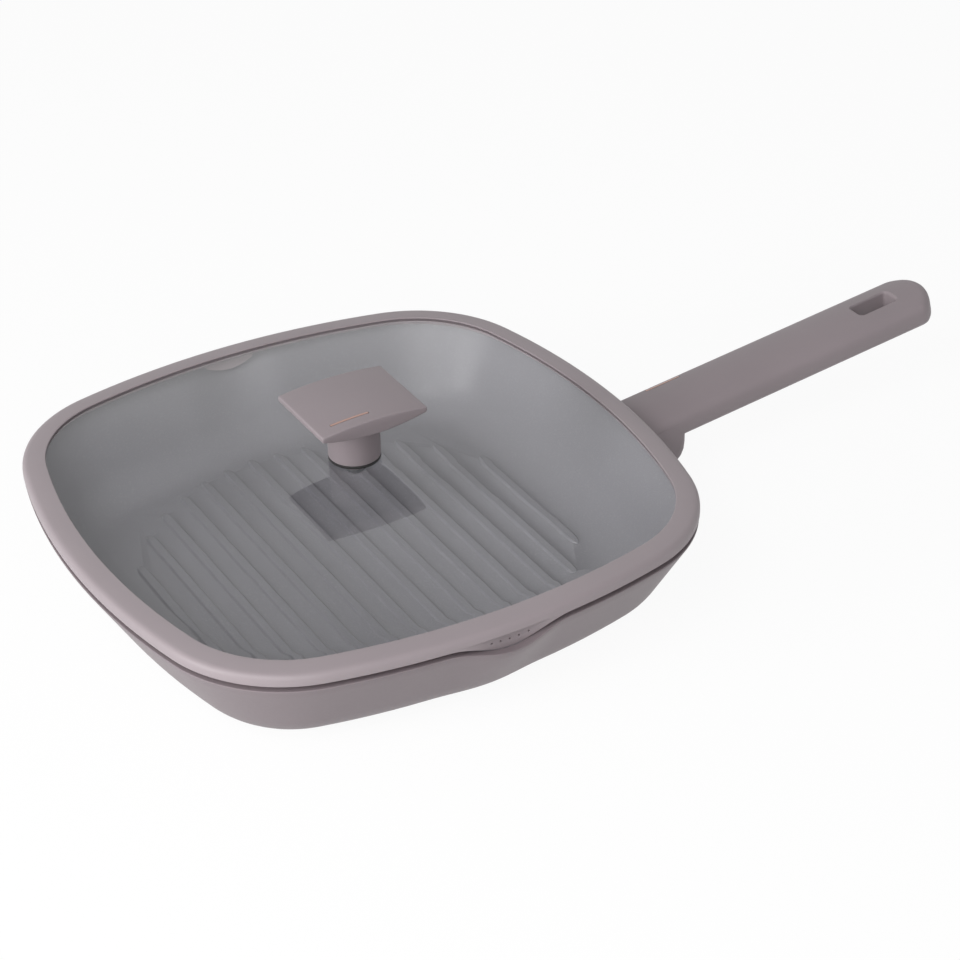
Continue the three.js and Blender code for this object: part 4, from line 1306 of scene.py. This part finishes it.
def seen_directly(tree):
    """1 for rays that show the stage itself: straight, mirrored or through glass."""
    path = add_node(tree, "ShaderNodeLightPath")
    seen = path.outputs["Is Camera Ray"]
    for ray in ("Is Glossy Ray", "Is Transmission Ray"):
        either = add_node(tree, "ShaderNodeMath", {0: seen, 1: path.outputs[ray]}, operation="MAXIMUM")
        seen = either.outputs["Value"]
    return seen


def painted_table(stage):
    """Matt white table: seen itself it is near white and keeps a faint shadow,
    and it throws light back up."""
    finish = bpy.data.materials.new("matt_white_table")
    finish.use_nodes = True
    tree = finish.node_tree
    tree.nodes.clear()
    shadow_share = 0.09
    white_level = 0.93
    glow = add_node(tree, "ShaderNodeEmission", {"Strength": white_level})
    shade = add_node(tree, "ShaderNodeBsdfDiffuse", {"Color": opaque(stage.floor_colour, shadow_share)})
    shown = add_node(tree, "ShaderNodeAddShader", {0: glow.outputs["Emission"], 1: shade.outputs["BSDF"]})
    bounce = add_node(tree, "ShaderNodeBsdfDiffuse", {"Color": opaque(stage.floor_colour)})
    either = add_node(
        tree,
        "ShaderNodeMixShader",
        {0: seen_directly(tree), 1: bounce.outputs["BSDF"], 2: shown.outputs["Shader"]},
    )
    add_node(tree, "ShaderNodeOutputMaterial", {"Surface": either.outputs["Shader"]})
    return finish


def add_lamp(name, position, size, watts):
    """Square lamp that faces the pan, with its size in metres."""
    lamp = bpy.data.lights.new(name, "AREA")
    lamp.size = size
    lamp.energy = watts
    carrier = bpy.data.objects.new(name, lamp)
    carrier.location = position
    carrier.rotation_euler = (-Vector(position)).to_track_quat("-Z", "Y").to_euler()
    bpy.context.scene.collection.objects.link(carrier)


def add_camera(stage):
    """Camera that turns about its aim by azimuth, elevation and roll."""
    turn, rise, roll = stage.azimuth, stage.elevation, stage.roll
    back = Vector((math.sin(turn) * math.cos(rise), -math.cos(turn) * math.cos(rise), math.sin(rise)))
    level_right = Vector((math.cos(turn), math.sin(turn), 0))
    level_up = back.cross(level_right)
    right = level_right * math.cos(roll) + level_up * math.sin(roll)
    up = level_up * math.cos(roll) - level_right * math.sin(roll)
    aim = level_right * stage.aim_right + level_up * stage.aim_up + Vector((0, 0, stage.aim_height))
    data = bpy.data.cameras.new("photo_camera")
    data.lens = stage.lens
    camera = bpy.data.objects.new("photo_camera", data)
    turned = Matrix((right, up, back)).transposed().to_4x4()
    camera.matrix_world = Matrix.Translation(aim + back * stage.distance) @ turned
    bpy.context.scene.collection.objects.link(camera)
    bpy.context.scene.camera = camera


def build_stage(settings):
    """Table, white surroundings, lamps and camera."""
    stage = settings.stage
    scene = bpy.context.scene
    scene.view_settings.view_transform = "Standard"
    # In metres, so that the table's edges lie far outside the picture
    half = 20
    below = -0.2 * MM
    mesh = bmesh.new()
    corners = [(-half, -half), (half, -half), (half, half), (-half, half)]
    mesh.faces.new([mesh.verts.new((x, y, below)) for x, y in corners])
    new_object("table", mesh, painted_table(stage))
    world = bpy.data.worlds.new("white_studio")
    scene.world = world
    world.use_nodes = True
    tree = world.node_tree
    tree.nodes.clear()
    strength = add_node(
        tree,
        "ShaderNodeMapRange",
        {"Value": seen_directly(tree), "To Min": stage.ambient, "To Max": 1.0},
    )
    light = add_node(
        tree,
        "ShaderNodeBackground",
        {"Color": opaque((1, 1, 1)), "Strength": strength.outputs["Result"]},
    )
    add_node(tree, "ShaderNodeOutputWorld", {"Surface": light.outputs["Background"]})
    add_lamp("low_softbox", position=(-1.45, -0.05, 0.4), size=0.5, watts=stage.low_power)
    add_lamp("high_softbox", position=(-0.86, -0.58, 1.02), size=0.7, watts=stage.high_power)
    add_lamp("front_softbox", position=(-0.6, -1.1, 0.7), size=0.6, watts=stage.front_power)
    add_camera(stage)


class GRILLPAN_OT_stage(bpy.types.Operator):
    """Set up the table, the lamps and the camera"""

    bl_idname = "grillpan.stage"
    bl_label = "Stage"
    bl_options = {"REGISTER", "UNDO"}

    def execute(self, context):
        build_stage(context.scene.grill_pan)
        return {"FINISHED"}


class GRILLPAN_OT_pan_body(bpy.types.Operator):
    """Build the cast pan with its ribs, spouts and lug"""

    bl_idname = "grillpan.pan_body"
    bl_label = "Pan Body"
    bl_options = {"REGISTER", "UNDO"}

    def execute(self, context):
        build_pan_body(context.scene.grill_pan)
        return {"FINISHED"}


class GRILLPAN_OT_induction_plate(bpy.types.Operator):
    """Build the perforated plate in the base"""

    bl_idname = "grillpan.induction_plate"
    bl_label = "Induction Plate"
    bl_options = {"REGISTER", "UNDO"}

    def execute(self, context):
        build_induction_plate(context.scene.grill_pan)
        return {"FINISHED"}


class GRILLPAN_OT_handle(bpy.types.Operator):
    """Build the handle with its heel and hanging slot"""

    bl_idname = "grillpan.handle"
    bl_label = "Handle"
    bl_options = {"REGISTER", "UNDO"}

    def execute(self, context):
        build_handle(context.scene.grill_pan)
        return {"FINISHED"}


class GRILLPAN_OT_lid_rim(bpy.types.Operator):
    """Build the lid's silicone rim with its strainer tabs"""

    bl_idname = "grillpan.lid_rim"
    bl_label = "Lid Rim"
    bl_options = {"REGISTER", "UNDO"}

    def execute(self, context):
        build_lid_rim(context.scene.grill_pan)
        return {"FINISHED"}


class GRILLPAN_OT_lid_glass(bpy.types.Operator):
    """Build the lid's domed glass"""

    bl_idname = "grillpan.lid_glass"
    bl_label = "Lid Glass"
    bl_options = {"REGISTER", "UNDO"}

    def execute(self, context):
        build_lid_glass(context.scene.grill_pan)
        return {"FINISHED"}


class GRILLPAN_OT_knob(bpy.types.Operator):
    """Build the knob"""

    bl_idname = "grillpan.knob"
    bl_label = "Knob"
    bl_options = {"REGISTER", "UNDO"}

    def execute(self, context):
        build_knob(context.scene.grill_pan)
        return {"FINISHED"}


class GRILLPAN_OT_strips(bpy.types.Operator):
    """Build the metal strips in the handle and the knob"""

    bl_idname = "grillpan.strips"
    bl_label = "Metal Strips"
    bl_options = {"REGISTER", "UNDO"}

    def execute(self, context):
        build_strips(context.scene.grill_pan)
        return {"FINISHED"}


class GRILLPAN_OT_seals(bpy.types.Operator):
    """Build the knob's seals on the glass"""

    bl_idname = "grillpan.seals"
    bl_label = "Knob Seals"
    bl_options = {"REGISTER", "UNDO"}

    def execute(self, context):
        build_seals(context.scene.grill_pan)
        return {"FINISHED"}


class GRILLPAN_OT_fasteners(bpy.types.Operator):
    """Give the screws, washers and insert their metals"""

    bl_idname = "grillpan.fasteners"
    bl_label = "Fasteners"
    bl_options = {"REGISTER", "UNDO"}

    def execute(self, context):
        finish_fasteners(context.scene.grill_pan)
        return {"FINISHED"}


class GRILLPAN_PT_pan(bpy.types.Panel):
    """Lists the pieces of the grill pan and their sizes"""

    bl_idname = "GRILLPAN_PT_pan"
    bl_label = "Grill Pan"
    bl_space_type = "VIEW_3D"
    bl_region_type = "UI"
    bl_category = "Grill Pan"

    def draw(self, context):
        settings = context.scene.grill_pan
        for operator in OPERATORS:
            self.layout.operator(operator.bl_idname)
        for name in GrillPanSettings.__annotations__:
            group = getattr(settings, name)
            column = self.layout.column(heading=name.title())
            for size in type(group).__annotations__:
                column.prop(group, size)


GROUPS = (
    PanSizes, HandleSizes, LidSizes, KnobSizes, StripSizes, FinishColours, StageSettings, GrillPanSettings,
)
OPERATORS = (
    GRILLPAN_OT_stage,
    GRILLPAN_OT_pan_body,
    GRILLPAN_OT_induction_plate,
    GRILLPAN_OT_handle,
    GRILLPAN_OT_lid_rim,
    GRILLPAN_OT_lid_glass,
    GRILLPAN_OT_knob,
    GRILLPAN_OT_strips,
    GRILLPAN_OT_seals,
    GRILLPAN_OT_fasteners,
)
CLASSES = (*GROUPS, *OPERATORS, GRILLPAN_PT_pan)


def register():
    for item in CLASSES:
        bpy.utils.register_class(item)
    bpy.types.Scene.grill_pan = PointerProperty(type=GrillPanSettings)


def unregister():
    del bpy.types.Scene.grill_pan
    for item in reversed(CLASSES):
        bpy.utils.unregister_class(item)


def main():
    register()
    bpy.ops.grillpan.stage()
    bpy.ops.grillpan.pan_body()
    bpy.ops.grillpan.induction_plate()
    bpy.ops.grillpan.handle()
    bpy.ops.grillpan.lid_rim()
    bpy.ops.grillpan.lid_glass()
    bpy.ops.grillpan.knob()
    bpy.ops.grillpan.strips()
    bpy.ops.grillpan.seals()
    bpy.ops.grillpan.fasteners()


if __name__ == "__main__":
    main()
